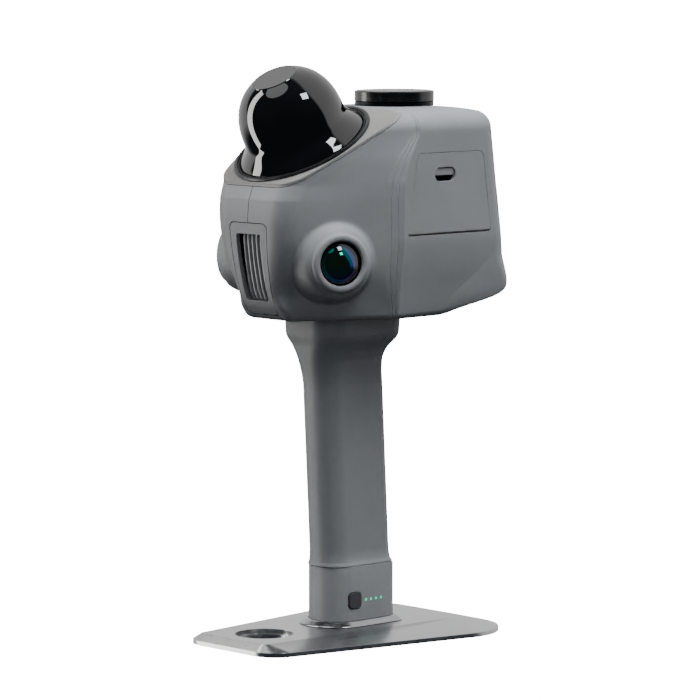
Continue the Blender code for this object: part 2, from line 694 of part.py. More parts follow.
def side_half(name, side):
    """The space on the far side of the seam between the two casings."""
    return box(name, (WIDE, WIDE, WIDE), (-side * (WIDE - SEAM) / 2, 0, HEAD_BOTTOM))


# Openings that both casings share

ABOVE_DECK = deck_layer("above_deck", -DECK_SKIN - GAP, WIDE)
NECK_OPENING = sheet(
    "neck_opening",
    rounded(rectangle(NECK_WIDTH / 2 + GAP, -NECK_DEPTH / 2 - GAP, NECK_DEPTH / 2 + GAP, NECK_CORNER)),
    HEAD_BOTTOM - OVERRUN,
    HEAD_BOTTOM + HEAD_WALL + GAP,
    None,
    NECK,
)


def vent_corners(margin):
    """The vent panel's outline, wider than the panel by margin."""
    return rounded([
        (-VENT_BOTTOM_HALF - margin, VENT_BOTTOM - margin, VENT_CORNER, 4),
        (VENT_BOTTOM_HALF + margin, VENT_BOTTOM - margin, VENT_CORNER, 4),
        (VENT_TOP_HALF + margin, VENT_TOP + margin, VENT_CORNER, 4),
        (-VENT_TOP_HALF - margin, VENT_TOP + margin, VENT_CORNER, 4),
    ])


VENT_REACH = HEAD_FRONT / 2  # the vent's cutters stop here, ahead of the middle
VENT_OPENING = sheet("vent_opening", vent_corners(SEAM), VENT_REACH, HEAD_FRONT + OVERRUN, None, FORWARD)

SCREEN_BACK, SCREEN_LEAN = rear_wall(SCREEN_CENTRE_SHARE)
SCREEN = (
    at(0, SCREEN_BACK, HEAD_BOTTOM + SCREEN_CENTRE_SHARE * HEAD_HEIGHT)
    @ Matrix.Rotation(SCREEN_LEAN, 4, "X")
    @ Matrix.Rotation(math.pi, 4, "Z")
    @ FORWARD
)


def screen_outline(margin):
    """The screen glass's outline, wider than the glass by margin."""
    half = SCREEN_WIDTH / 2 + margin
    high = SCREEN_HEIGHT / 2 + margin
    return rounded(rectangle(half, -high, high, max(SCREEN_CORNER + margin, CREASE_RADIUS)))


SCREEN_OPENING = sheet(
    "screen_opening", screen_outline(SCREEN_BORDER + GAP), -OVERRUN / 2, OVERRUN, None, SCREEN
)
CAP = at(0, CAP_BEHIND, 0)
CAP_SEAT = CAP_TOP - CAP_HEIGHT - CAP_BASE_HEIGHT - 2 * GAP
CAP_RECESS = rod("cap_recess", CAP_RADIUS, CAP_SEAT, CAP_SEAT + OVERRUN, None, CAP, FINE)
CAP_HOLE = rod("cap_hole", CAP_SPIGOT + GAP, CAP_SEAT - OVERRUN / 2, CAP_SEAT + OVERRUN, None, CAP)

SCREW_PLACES = [
    (side * SCREW_SIDE, y) for side in (-1, 1) for y in (-SCREW_FRONT, SCREW_BACK)
]
SCREW_SEAT = HEAD_BOTTOM + SCREW_RECESS + SCREW_HEAD_DEPTH + GAP


def screw_cutters(index, x, y):
    place = at(x, y, 0)
    head = rod(f"screw_head_hole_{index}", SCREW_HEAD + GAP, HEAD_BOTTOM - OVERRUN, SCREW_SEAT, None, place, SMALL)
    shank = rod(
        f"screw_hole_{index}", SCREW_RADIUS + GAP, HEAD_BOTTOM - OVERRUN, SCREW_SEAT + SCREW_LENGTH, None, place, SMALL
    )
    return head, shank


SCREW_HOLES = [screw_cutters(i + 1, x, y) for i, (x, y) in enumerate(SCREW_PLACES)]


def camera_frame(side):
    """Frame of a side camera, its axis out of the head."""
    return (
        at(side * CAMERA_SIDE, -CAMERA_AHEAD, CAMERA_HEIGHT)
        @ Matrix.Rotation(side * CAMERA_TURN, 4, "Z")
        @ FORWARD
    )


def camera_hole(name, side):
    return rod(name, BOSS_FACE - BOSS_SINK, -OVERRUN / 2, OVERRUN, None, camera_frame(side), ROUND)


# Casings

def casing(name, side):
    shell = head_form(name, 0.0, CASING)
    cut(shell, CAVITY, ABOVE_DECK, side_half(f"{name}_half", side))
    cut(shell, NECK_OPENING, VENT_OPENING, SCREEN_OPENING, CAP_RECESS, CAP_HOLE)
    cut(shell, camera_hole(f"{name}_camera_hole", side))
    for (x, _), holes in zip(SCREW_PLACES, SCREW_HOLES):
        if x * side > 0:
            cut(shell, *holes)
    return shell


LEFT_SHELL = casing("left_shell", -1)
RIGHT_SHELL = casing("right_shell", 1)


# Sloped deck that carries the lidar

def deck():
    top = head_form("top_deck", 0.0, DECK_GREY)
    keep(top, deck_layer("deck_skin_layer", -DECK_SKIN, 0.0))
    core = head_form("deck_core", HEAD_WALL + GAP)
    keep(core, deck_layer("deck_core_layer", -DECK_SKIN - DECK_CORE, -DECK_SKIN / 2))
    join(top, core)
    cut(top, rod("lidar_bore", LIDAR_BORE + GAP, -OVERRUN, OVERRUN, None, LIDAR, FINE))
    cut(top, cap_clearance())
    return top


def cap_clearance():
    """Room for the cap's seat where the deck runs under it."""
    return rod("deck_cap_clearance", CAP_RADIUS + GAP, HEAD_BOTTOM, HEAD_TOP + OVERRUN, None, CAP, FINE)


deck()


# Lidar

def dome_profile(shrink):
    """Outer side of the dome from its flat top down to the flare, moved in by shrink."""
    rise = DOME_HEIGHT - DOME_BULB_HEIGHT
    full = rise * DOME_FULLNESS
    points = [(DOME_FLAT - shrink / 2, DOME_HEIGHT - shrink)]
    for share in DOME_SHARES:
        height = share * rise
        radius = DOME_BULB * (1.0 - (height / full) ** DOME_POWER) ** (1 / DOME_POWER)
        points.append((radius - shrink, DOME_BULB_HEIGHT + height * (1 - shrink / rise)))
    points.append((DOME_NECK - shrink, DOME_NECK_HEIGHT))
    reach = DOME_FLARE - DOME_NECK
    fillet = DOME_NECK_HEIGHT - DOME_LIP
    for share in (0.25, 0.5, 0.75, 1.0):
        angle = share * math.pi / 2
        points.append((
            DOME_FLARE - shrink - reach * math.cos(angle),
            DOME_LIP + fillet * (1.0 - math.sin(angle)) - shrink / 2 * share,
        ))
    return points


def lidar():
    low = GAP
    outer = dome_profile(0.0)
    inner = [(radius, height) for radius, height in dome_profile(DOME_WALL) if height > DOME_LIP]
    inner_foot = (inner[-1][0], low)
    profile = [(0.0, DOME_HEIGHT)] + outer + [(DOME_FLARE, low)] + [inner_foot] + inner[::-1]
    profile.append((0.0, DOME_HEIGHT - DOME_WALL))
    turned("lidar_dome", profile, GLOSS_BLACK, LIDAR)

    inside = DOME_FLARE + GAP
    outside = inside + GASKET_WIDTH
    turned(
        "lidar_gasket",
        [(inside, GASKET_RISE), (outside, GASKET_RISE), (outside, low), (inside, low)],
        RUBBER, LIDAR, closed=True,
    )
    inside = outside + GAP
    outside = inside + BEZEL_WIDTH
    soften = BEZEL_WIDTH / 4
    turned(
        "lidar_bezel",
        [
            (inside, BEZEL_RISE - soften),
            (inside + soften, BEZEL_RISE),
            (outside - soften, BEZEL_RISE),
            (outside, BEZEL_RISE - soften),
            (outside, low),
            (inside, low),
        ],
        DARK_METAL, LIDAR, closed=True,
    )

    deck_under = -DECK_SKIN - DECK_CORE - GAP
    base_low = -LIDAR_BASE_DEPTH
    bore = LIDAR_SHAFT + GAP
    turned(
        "lidar_base",
        [
            (bore, LIDAR_BASE_RISE),
            (LIDAR_BASE_CAP, LIDAR_BASE_RISE),
            (LIDAR_BASE_CAP, 0.0),
            (LIDAR_BORE, 0.0),
            (LIDAR_BORE, deck_under),
            (LIDAR_FLANGE, deck_under),
            (LIDAR_FLANGE, base_low),
            (bore, base_low),
        ],
        ALUMINIUM, LIDAR, closed=True,
    )
    motor_top = base_low - GAP
    turned(
        "lidar_motor",
        [
            (0.0, LIDAR_SHAFT_RISE),
            (LIDAR_SHAFT, LIDAR_SHAFT_RISE),
            (LIDAR_SHAFT, motor_top),
            (MOTOR_RADIUS, motor_top),
            (MOTOR_RADIUS, motor_top - MOTOR_DEPTH),
            (0.0, motor_top - MOTOR_DEPTH),
        ],
        STEEL, LIDAR, steps=ROUND,
    )
    rotor_low = LIDAR_BASE_RISE + GAP
    rotor = rod("lidar_rotor", ROTOR_RADIUS, rotor_low, rotor_low + ROTOR_DISC, MIRROR, LIDAR, FINE)
    block = box(
        "mirror_block",
        (MIRROR_WIDTH, MIRROR_DEPTH, ROTOR_HEIGHT - ROTOR_DISC / 2),
        (0, 0, rotor_low + ROTOR_DISC / 2 + (ROTOR_HEIGHT - ROTOR_DISC / 2) / 2),
        None, LIDAR,
    )
    slope = box(
        "mirror_slope", (WIDE, WIDE, OVERRUN), (0, 0, OVERRUN / 2),
        None,
        LIDAR @ at(0, 0, rotor_low + ROTOR_HEIGHT * MIRROR_CUT_SHARE) @ Matrix.Rotation(MIRROR_TILT, 4, "X"),
    )
    cut(block, slope)
    join(rotor, block)
    cut(rotor, rod("rotor_bore", LIDAR_SHAFT + GAP, 0.0, LIDAR_SHAFT_RISE + GAP, None, LIDAR, SMALL))


lidar()


# Vent panel and heat sink

def grille_corners(margin):
    return rounded([
        (-GRILLE_BOTTOM_HALF - margin, GRILLE_BOTTOM - margin, GRILLE_CORNER, 3),
        (GRILLE_BOTTOM_HALF + margin, GRILLE_BOTTOM - margin, GRILLE_CORNER, 3),
        (GRILLE_TOP_HALF + margin, GRILLE_TOP + margin, GRILLE_CORNER, 3),
        (-GRILLE_TOP_HALF - margin, GRILLE_TOP + margin, GRILLE_CORNER, 3),
    ])


def vent():
    panel = sheet("vent_frame", vent_corners(0.0), VENT_REACH, HEAD_FRONT + OVERRUN, CASING, FORWARD)
    keep(panel, head_form("vent_form", 0.0))
    cut(panel, head_form("vent_back", VENT_WALL))
    grille = sheet("grille_opening", grille_corners(0.0), VENT_REACH, HEAD_FRONT + OVERRUN, None, FORWARD)
    cut(panel, grille)

    low = GRILLE_BOTTOM - SINK_MARGIN
    high = GRILLE_TOP + SINK_MARGIN
    depth = HEAD_FRONT - SINK_BACK
    sink = box(
        "heat_sink",
        (2 * SINK_HALF_WIDTH - 2 * GAP, depth, high - low),
        (0, -SINK_BACK - depth / 2, (low + high) / 2),
        FINS,
    )
    keep(sink, head_form("sink_form", VENT_WALL + GAP))
    pocket = sheet("sink_pocket", grille_corners(GAP), VENT_REACH, HEAD_FRONT + OVERRUN, None, FORWARD)
    cut(pocket, head_form("fin_form", FIN_SETBACK))
    cut(sink, pocket)
    slot = FIN_PITCH - FIN_THICKNESS
    for i in range(FIN_COUNT + 1):
        x = (i - FIN_COUNT / 2) * FIN_PITCH
        reach = HEAD_FRONT - SINK_BACK - SINK_PLATE
        cut(sink, box(
            f"fin_slot_{i + 1}",
            (slot, reach, GRILLE_TOP - GRILLE_BOTTOM),
            (x, -SINK_BACK - SINK_PLATE - reach / 2, (GRILLE_TOP + GRILLE_BOTTOM) / 2),
        ))


vent()


# Side cameras

def camera(label, side):
    frame = camera_frame(side)
    raised = frame @ at(0, CAMERA_RISE, 0)
    face = BOSS_RISE
    skirt = [(BOSS_FACE + (BOSS_RADIUS - BOSS_FACE) * width, face * rise) for width, rise in BOSS_SKIRT]
    foot = [(BOSS_RADIUS, 0.0), (BOSS_RADIUS, -OVERRUN / 3), (0.0, -OVERRUN / 3)]
    ring = turned(f"{label}_camera_ring", [(0.0, face), (BOSS_FACE, face)] + skirt + foot, CASING, raised)
    cut(ring, head_form(f"{label}_ring_seat", -BOSS_GAP))
    neck = rod(
        f"{label}_ring_neck", BOSS_FACE - BOSS_SINK - GAP, -HEAD_WALL - BOSS_SINK, face / 2, None, frame, ROUND
    )
    join(ring, neck)
    bore = rod(f"{label}_ring_bore", LENS_RADIUS + GAP, -OVERRUN, OVERRUN, None, frame, ROUND)
    cut(ring, bore)
    back = face - LENS_SETBACK - LENS_SAG - LENS_EDGE
    glass = [(0.0, back + LENS_EDGE + LENS_SAG)]
    for share in LENS_SHARES:
        glass.append((LENS_RADIUS * share, back + LENS_EDGE + LENS_SAG * (1.0 - share ** 2)))
    glass += [(LENS_RADIUS, back), (0.0, back)]
    turned(f"{label}_lens", glass, LENS_GLASS, frame, steps=ROUND)
    barrel_top = back - GAP
    module = rod(
        f"{label}_camera_module", BARREL_RADIUS, barrel_top - BARREL_LENGTH, barrel_top, DARK_METAL, frame, ROUND
    )
    collar = rod(f"{label}_module_collar", LENS_RADIUS, barrel_top - LENS_EDGE, barrel_top, None, frame, ROUND)
    board = box(
        f"{label}_camera_board",
        (CAMERA_BOARD, CAMERA_BOARD, CAMERA_BOARD_THICKNESS),
        (0, CAMERA_BOARD_RISE, barrel_top - BARREL_LENGTH),
        None, frame,
    )
    join(module, collar, board)


camera("left", -1)
camera("right", 1)


# Card door, its latch and the bay behind it

DOOR_FACE = HEAD_HALF_WIDTH
DOOR_BACK = DOOR_FACE - DOOR_THICKNESS
HINGE_SIDE = DOOR_FACE - DOOR_BEAD
HINGE_HEIGHT = DOOR_BOTTOM + DOOR_BEAD


def door_corners(margin, low):
    return rounded([
        (DOOR_BOTTOM_FRONT - margin, low, DOOR_CORNER / 3, 2),
        (DOOR_BOTTOM_BACK + margin, low, DOOR_CORNER / 3, 2),
        (DOOR_TOP_BACK + margin, DOOR_TOP + margin, DOOR_CORNER + margin, 4),
        (DOOR_TOP_FRONT - margin, DOOR_TOP + margin, DOOR_CORNER + margin, 4),
    ])


def latch_corners(margin, low, high):
    half = LATCH_WIDTH / 2 + margin
    radius = (high - low) / 2 * LATCH_ROUND_SHARE
    return [(LATCH_CENTRE + y, z) for y, z in rounded(rectangle(half, low - margin, high + margin, radius))]


def along_y(radius, name, low, high, look=None, sides=SMALL):
    """A rod on the door's hinge axis, between two places along Y."""
    frame = at(HINGE_SIDE, 0, HINGE_HEIGHT) @ Matrix.Rotation(-math.pi / 2, 4, "X")
    return rod(name, radius, low, high, look, frame, sides)


def door():
    opening = sheet(
        "door_opening", door_corners(RUNNING, DOOR_BOTTOM - RUNNING), DOOR_BACK - DOOR_THICKNESS,
        DOOR_FACE + OVERRUN, None, SIDEWAYS,
    )
    cut(RIGHT_SHELL, opening)
    pin_front = DOOR_BOTTOM_FRONT - PIN_REACH
    pin_back = DOOR_BOTTOM_BACK + PIN_REACH
    cut(RIGHT_SHELL, along_y(PIN_RADIUS + GAP, "pin_hole", pin_front - GAP, pin_back + GAP))

    hinge = bpy.data.objects.new("storage_door_axis", None)
    hinge.matrix_world = at(HINGE_SIDE, 0, HINGE_HEIGHT)
    PARTS.objects.link(hinge)
    panel = sheet("storage_door", door_corners(0.0, HINGE_HEIGHT), DOOR_BACK, DOOR_FACE, CASING, SIDEWAYS)
    bead_front = DOOR_BOTTOM_FRONT + DOOR_CORNER / 3
    bead_back = DOOR_BOTTOM_BACK - DOOR_CORNER / 3
    join(panel, along_y(DOOR_BEAD, "door_bead", bead_front, bead_back))
    slot = sheet(
        "latch_slot", latch_corners(0.0, LATCH_BOTTOM, LATCH_TOP), DOOR_BACK - OVERRUN, DOOR_FACE + OVERRUN,
        None, SIDEWAYS,
    )
    cut(panel, slot, along_y(PIN_RADIUS + GAP, "pin_bore", pin_front - OVERRUN, pin_back + OVERRUN))
    along_y(PIN_RADIUS, "door_hinge_pin", pin_front, pin_back, STEEL)

    low = LATCH_BOTTOM + LATCH_TRAVEL + RUNNING
    latch = sheet(
        "door_latch", latch_corners(-RUNNING, low - RUNNING, LATCH_TOP), DOOR_BACK - RUNNING - LATCH_PLATE / 2,
        DOOR_FACE - LATCH_SETBACK, CASING, SIDEWAYS,
    )
    plate_top = DOOR_TOP - LATCH_NOSE
    plate = box(
        "latch_plate",
        (LATCH_PLATE, LATCH_PLATE_WIDTH, plate_top - low),
        (DOOR_BACK - RUNNING - LATCH_PLATE / 2 - GAP / 2, LATCH_CENTRE, (plate_top + low) / 2),
    )
    join(latch, plate)
    for piece in (panel, latch):
        piece.parent = hinge
        piece.matrix_parent_inverse = hinge.matrix_world.inverted()


door()


def port_bay():
    front_rim = DOOR_BACK - LATCH_PLATE - 2 * RUNNING - GAP
    back = front_rim - TRAY_DEPTH
    middle = (TRAY_FRONT + TRAY_BACK) / 2
    height = (TRAY_TOP + TRAY_BOTTOM) / 2
    tray = box(
        "port_tray",
        (TRAY_DEPTH, TRAY_BACK - TRAY_FRONT, TRAY_TOP - TRAY_BOTTOM),
        (back + TRAY_DEPTH / 2, middle, height),
        RUBBER,
    )
    inner_back = back + TRAY_WALL
    ear_outer = DOOR_FACE - HEAD_WALL - GAP
    for label, low, high in (
        ("front", TRAY_EAR_FRONT, TRAY_FRONT + TRAY_WALL),
        ("back", TRAY_BACK - TRAY_WALL, TRAY_EAR_BACK),
    ):
        ear = box(
            f"tray_ear_{label}",
            (ear_outer - front_rim + TRAY_EAR, high - low, TRAY_EAR_TOP - TRAY_EAR_BOTTOM),
            (front_rim - TRAY_EAR + (ear_outer - front_rim + TRAY_EAR) / 2, (low + high) / 2,
             (TRAY_EAR_TOP + TRAY_EAR_BOTTOM) / 2),
        )
        join(tray, ear)
    cut(tray, box(
        "tray_hollow",
        (OVERRUN, TRAY_BACK - TRAY_FRONT - 2 * TRAY_WALL, TRAY_TOP - TRAY_BOTTOM - 2 * TRAY_WALL),
        (inner_back + OVERRUN / 2, middle, height),
    ))
    floor = inner_back + GAP
    usb_front = TRAY_FRONT + TRAY_WALL + PORT_SPACE
    card_front = usb_front + USB_WIDTH + PORT_SPACE
    card_width = TRAY_BACK - TRAY_WALL - PORT_SPACE - card_front
    for label, front, width, tall, length in (
        ("usb_port", usb_front, USB_WIDTH, USB_HEIGHT, USB_LENGTH),
        ("card_slot", card_front, card_width, CARD_HEIGHT, CARD_LENGTH),
    ):
        y = front + width / 2
        body = box(label, (length, width, tall), (floor + length / 2, y, height), STEEL)
        cut(body, box(
            f"{label}_bore",
            (OVERRUN, width * USB_BORE_SHARE, tall * USB_BORE_SHARE),
            (floor + length / 2 + OVERRUN / 2, y, height),
        ))


port_bay()


# Rear screen

def screen():
    frame_low = SCREEN_PROUD - SCREEN_FRAME_DEPTH
    frame = sheet("screen_frame", screen_outline(SCREEN_BORDER), frame_low, SCREEN_PROUD, GLOSS_BLACK, SCREEN)
    glass_low = SCREEN_PROUD - GLASS_THICKNESS
    pocket = sheet("glass_pocket", screen_outline(GAP), glass_low - GAP, OVERRUN, None, SCREEN)
    window = sheet("screen_window", screen_outline(-SCREEN_LEDGE), -OVERRUN, OVERRUN, None, SCREEN)
    cut(frame, pocket, window)
    sheet("screen_glass", screen_outline(0.0), glass_low, SCREEN_PROUD, GLOSS_BLACK, SCREEN)
    panel_high = frame_low - GAP
    sheet(
        "screen_panel", screen_outline(-PANEL_MARGIN), panel_high - PANEL_THICKNESS, panel_high, DARK_METAL, SCREEN
    )


screen()


# Cap on top

def cap():
    low = CAP_TOP - CAP_HEIGHT
    turned(
        "top_cap",
        [
            (0.0, CAP_TOP),
            (CAP_RADIUS - CAP_EDGE, CAP_TOP),
            (CAP_RADIUS, CAP_TOP - CAP_EDGE),
            (CAP_RADIUS, low),
            (CAP_STEM, low),
            (CAP_STEM, low - CAP_BASE_HEIGHT),
            (0.0, low - CAP_BASE_HEIGHT),
        ],
        GLOSS_BLACK, CAP,
    )
    base_top = low - GAP
    base_low = CAP_SEAT + GAP
    radius = CAP_RADIUS - CAP_BASE_STEP
    spigot_low = base_low - CAP_SPIGOT_DEPTH
    turned(
        "cap_base",
        [
            (CAP_STEM + GAP, base_top),
            (radius, base_top),
            (radius, base_low),
            (CAP_SPIGOT, base_low),
            (CAP_SPIGOT, spigot_low),
            (CAP_STEM + GAP, spigot_low),
        ],
        DARK_METAL, CAP, closed=True,
    )


cap()


# Inside of the head

CHASSIS_LOW = HEAD_BOTTOM + HEAD_WALL + GAP
CHASSIS_HIGH = CHASSIS_LOW + CHASSIS_THICKNESS
BOARD_LOW = CHASSIS_HIGH + STANDOFF_HEIGHT + GAP


def inside():
    plate = sheet(
        "chassis",
        rounded(rectangle(CHASSIS_HALF_WIDTH, -CHASSIS_FRONT, CHASSIS_BACK, CHASSIS_CORNER)),
        CHASSIS_LOW, CHASSIS_HIGH, ALUMINIUM,
    )
    boss = sheet(
        "chassis_boss",
        rounded(rectangle(NECK_WIDTH / 2, -NECK_DEPTH / 2, NECK_DEPTH / 2, NECK_CORNER)),
        HEAD_BOTTOM - GAP / 3, CHASSIS_LOW + CHASSIS_THICKNESS / 2, None, NECK,
    )
    join(plate, boss)
    index = 0
    for x in (-BOARD_HALF_WIDTH + BOARD_INSET, BOARD_HALF_WIDTH - BOARD_INSET):
        for y in (-BOARD_FRONT + BOARD_INSET, BOARD_BACK - BOARD_INSET):
            index += 1
            join(plate, rod(
                f"standoff_{index}", STANDOFF_RADIUS, CHASSIS_LOW + CHASSIS_THICKNESS / 2,
                CHASSIS_HIGH + STANDOFF_HEIGHT, None, at(x, y, 0), SMALL,
            ))
    cut(plate, rod("wire_bore_chassis", WIRE_BORE, HEAD_BOTTOM - OVERRUN, HEAD_BOTTOM + OVERRUN, None, NECK, SMALL))
    for _, shank in SCREW_HOLES:
        cut(plate, shank)
    sheet(
        "main_board",
        rounded(rectangle(BOARD_HALF_WIDTH, -BOARD_FRONT, BOARD_BACK, BOARD_CORNER)),
        BOARD_LOW, BOARD_LOW + BOARD_THICKNESS, BOARD_GREEN,
    )
    cooler_low = BOARD_LOW + BOARD_THICKNESS + GAP
    cooler = box(
        "processor_cooler",
        (COOLER_SIZE, COOLER_SIZE, COOLER_HEIGHT),
        (0, (BOARD_BACK - BOARD_FRONT) / 2, cooler_low + COOLER_HEIGHT / 2),
        ALUMINIUM,
    )
    pitch = COOLER_SIZE / COOLER_GROOVES
    for i in range(COOLER_GROOVES - 1):
        x = (i + 1) * pitch - COOLER_SIZE / 2
        cut(cooler, box(
            f"cooler_groove_{i + 1}",
            (COOLER_GROOVE, COOLER_SIZE + OVERRUN, COOLER_HEIGHT),
            (x, 0, cooler_low + COOLER_HEIGHT * (1.5 - COOLER_GROOVE_SHARE)),
        ))
    for i, (x, y) in enumerate(SCREW_PLACES):
        low = HEAD_BOTTOM + SCREW_RECESS
        neck = low + SCREW_HEAD_DEPTH
        screw = turned(
            f"head_screw_{i + 1}",
            [
                (0.0, low + SCREW_LENGTH),
                (SCREW_RADIUS, low + SCREW_LENGTH),
                (SCREW_RADIUS, neck),
                (SCREW_HEAD, neck),
                (SCREW_HEAD, low),
                (0.0, low),
            ],
            STEEL, at(x, y, 0), steps=SMALL,
        )
        cut(screw, box(
            f"head_screw_slot_{i + 1}",
            (2 * SCREW_RADIUS, SCREW_SLOT, SCREW_HEAD_DEPTH),
            (0, 0, low), None, at(x, y, 0),
        ))


inside()


# Grip and battery

def handle_corners(width, depth, behind, nose, heel):
    """A section of the handle: a round nose in front and tight corners behind."""
    half = width / 2
    front = behind - depth / 2
    back = behind + depth / 2
    return mirrored([
        (half, front, min(nose, half - CREASE_RADIUS), NOSE_STEPS),
        (half, back, heel, HEEL_STEPS),
    ])


def grip_corners(share):
    """The grip's section at a share of its height, between the listed levels."""
    levels = GRIP_LEVEL_SHARES
    for low, high in zip(levels, levels[1:]):
        if share <= high[0]:
            break
    blend = (share - low[0]) / (high[0] - low[0])
    _, wider, deeper, shift, nose, heel = (a + (b - a) * blend for a, b in zip(low, high))
    behind = GRIP_BOTTOM_BEHIND - share * GRIP_HEIGHT * math.tan(GRIP_RAKE) - shift * GRIP_WIDTH
    return handle_corners(
        GRIP_WIDTH * (1.0 + wider), GRIP_DEPTH + GRIP_WIDTH * deeper, behind, GRIP_NOSE * nose, GRIP_HEEL * heel
    )


def grip_form(name, inset, low, high, look=None):
    """The grip's form between two heights, moved in by inset."""
    first = (low - GRIP_BOTTOM) / GRIP_HEIGHT
    last = (high - GRIP_BOTTOM) / GRIP_HEIGHT
    shares = [first] + [level[0] for level in GRIP_LEVEL_SHARES if first < level[0] < last] + [last]
    sections = []
    for share in shares:
        corners = inward(grip_corners(min(max(share, 0.0), 1.0)), inset)
        sections.append((rounded(corners), GRIP_BOTTOM + share * GRIP_HEIGHT))
    return loft(name, sections, look)


def grip():
    shell = grip_form("grip_shell", 0.0, GRIP_BOTTOM, GRIP_TOP, CASING)
    cut(shell, grip_form("grip_hollow", GRIP_WALL, GRIP_BOTTOM - GRIP_WALL, GRIP_TOP - GRIP_TOP_SOLID))
    cut(shell, rod("wire_bore_grip", WIRE_BORE, GRIP_TOP - OVERRUN, GRIP_TOP + OVERRUN, None, NECK, SMALL))
    grip_form("battery_pack", GRIP_WALL + BATTERY_GAP, BATTERY_LOW, BATTERY_HIGH, CELL_BLUE)


grip()


# Foot of the grip with its button and lights

def foot_corners(inset):
    return inward(handle_corners(FOOT_WIDTH, FOOT_DEPTH, FOOT_BEHIND, FOOT_NOSE, FOOT_HEEL), inset)


def foot():
    shell = loft(
        "foot_shell", [(rounded(foot_corners(0.0)), FOOT_BOTTOM), (rounded(foot_corners(0.0)), FOOT_TOP)], CASING
    )
    cut(shell, sheet("foot_hollow", rounded(foot_corners(FOOT_WALL)), FOOT_BOTTOM - OVERRUN, FOOT_TOP + OVERRUN))
    wall_face = FOOT_WIDTH / 2
    wall_back = wall_face - FOOT_WALL
    half = BUTTON_SIZE / 2

    def button_outline(margin):
        points = rounded(rectangle(half + margin, -half - margin, half + margin, BUTTON_CORNER))
        return [(y + BUTTON_BEHIND, z + BUTTON_HEIGHT) for y, z in points]

    cut(shell, sheet("button_hole", button_outline(RUNNING), wall_back - OVERRUN / 4, wall_face + OVERRUN, None, SIDEWAYS))
    flange_high = wall_back - RUNNING - GAP
    button = sheet(
        "charge_button", button_outline(0.0), flange_high - BUTTON_FLANGE, wall_face + BUTTON_PROUD,
        BUTTON_GREY, SIDEWAYS,
    )
    flange = sheet(
        "button_flange", button_outline(BUTTON_FLANGE), flange_high - BUTTON_FLANGE, flange_high, None, SIDEWAYS
    )
    keep(flange, sheet("flange_room", rounded(foot_corners(FOOT_WALL + GAP)), FOOT_BOTTOM, FOOT_TOP))
    join(button, flange)

    board_face = wall_face - FOOT_WALL - CHARGE_BOARD_SETBACK
    low = FOOT_BOTTOM + FOOT_BLOCK_HEIGHT + CHARGE_BOARD_LIFT
    width = CHARGE_BOARD_FRONT + CHARGE_BOARD_BACK
    middle = FOOT_BEHIND + (CHARGE_BOARD_BACK - CHARGE_BOARD_FRONT) / 2
    box(
        "charge_board",
        (CHARGE_BOARD_THICKNESS, width, CHARGE_BOARD_HEIGHT),
        (board_face - CHARGE_BOARD_THICKNESS / 2, middle, low + CHARGE_BOARD_HEIGHT / 2),
        BOARD_GREEN,
    )
    for i in range(LED_COUNT):
        place = at(0, BUTTON_BEHIND + LED_BEHIND + i * LED_PITCH, BUTTON_HEIGHT - LED_DROP) @ SIDEWAYS
        cut(shell, rod(f"led_hole_{i + 1}", LED_RADIUS + GAP, wall_back - GAP, wall_face + OVERRUN, None, place, TINY))
        rod(f"charge_led_{i + 1}", LED_RADIUS, board_face + GAP, wall_face + LED_PROUD, LED_GREEN, place, TINY)

    block = loft("foot_block", [
        (rounded(foot_corners(FOOT_WALL + GAP)), FOOT_BOTTOM),
        (rounded(foot_corners(FOOT_WALL + GAP)), FOOT_BOTTOM + FOOT_BLOCK_HEIGHT),
    ], ALUMINIUM)
    screw_place = at(0, FOOT_BEHIND, 0)
    cut(block, rod("block_bore", BASE_SCREW_RADIUS + GAP, 0.0, OVERRUN, None, screw_place, SMALL))

    ring = loft("foot_ring", [
        (rounded(foot_corners(-RING_WIDTH)), PLATE_TOP + GAP),
        (rounded(foot_corners(-RING_SHOULDER)), PLATE_TOP + GAP + RING_HEIGHT),
    ], ALUMINIUM)
    cut(ring, sheet("ring_hole", rounded(foot_corners(-GAP)), 0.0, OVERRUN))


foot()


# Bench plate

def plate_corners(inset):
    return inward(mirrored([
        (PLATE_FRONT_HALF, -PLATE_HALF_LENGTH, PLATE_FRONT_CORNER, PLATE_STEPS),
        (PLATE_BACK_HALF, PLATE_HALF_LENGTH, PLATE_BACK_CORNER, PLATE_STEPS),
    ]), inset)


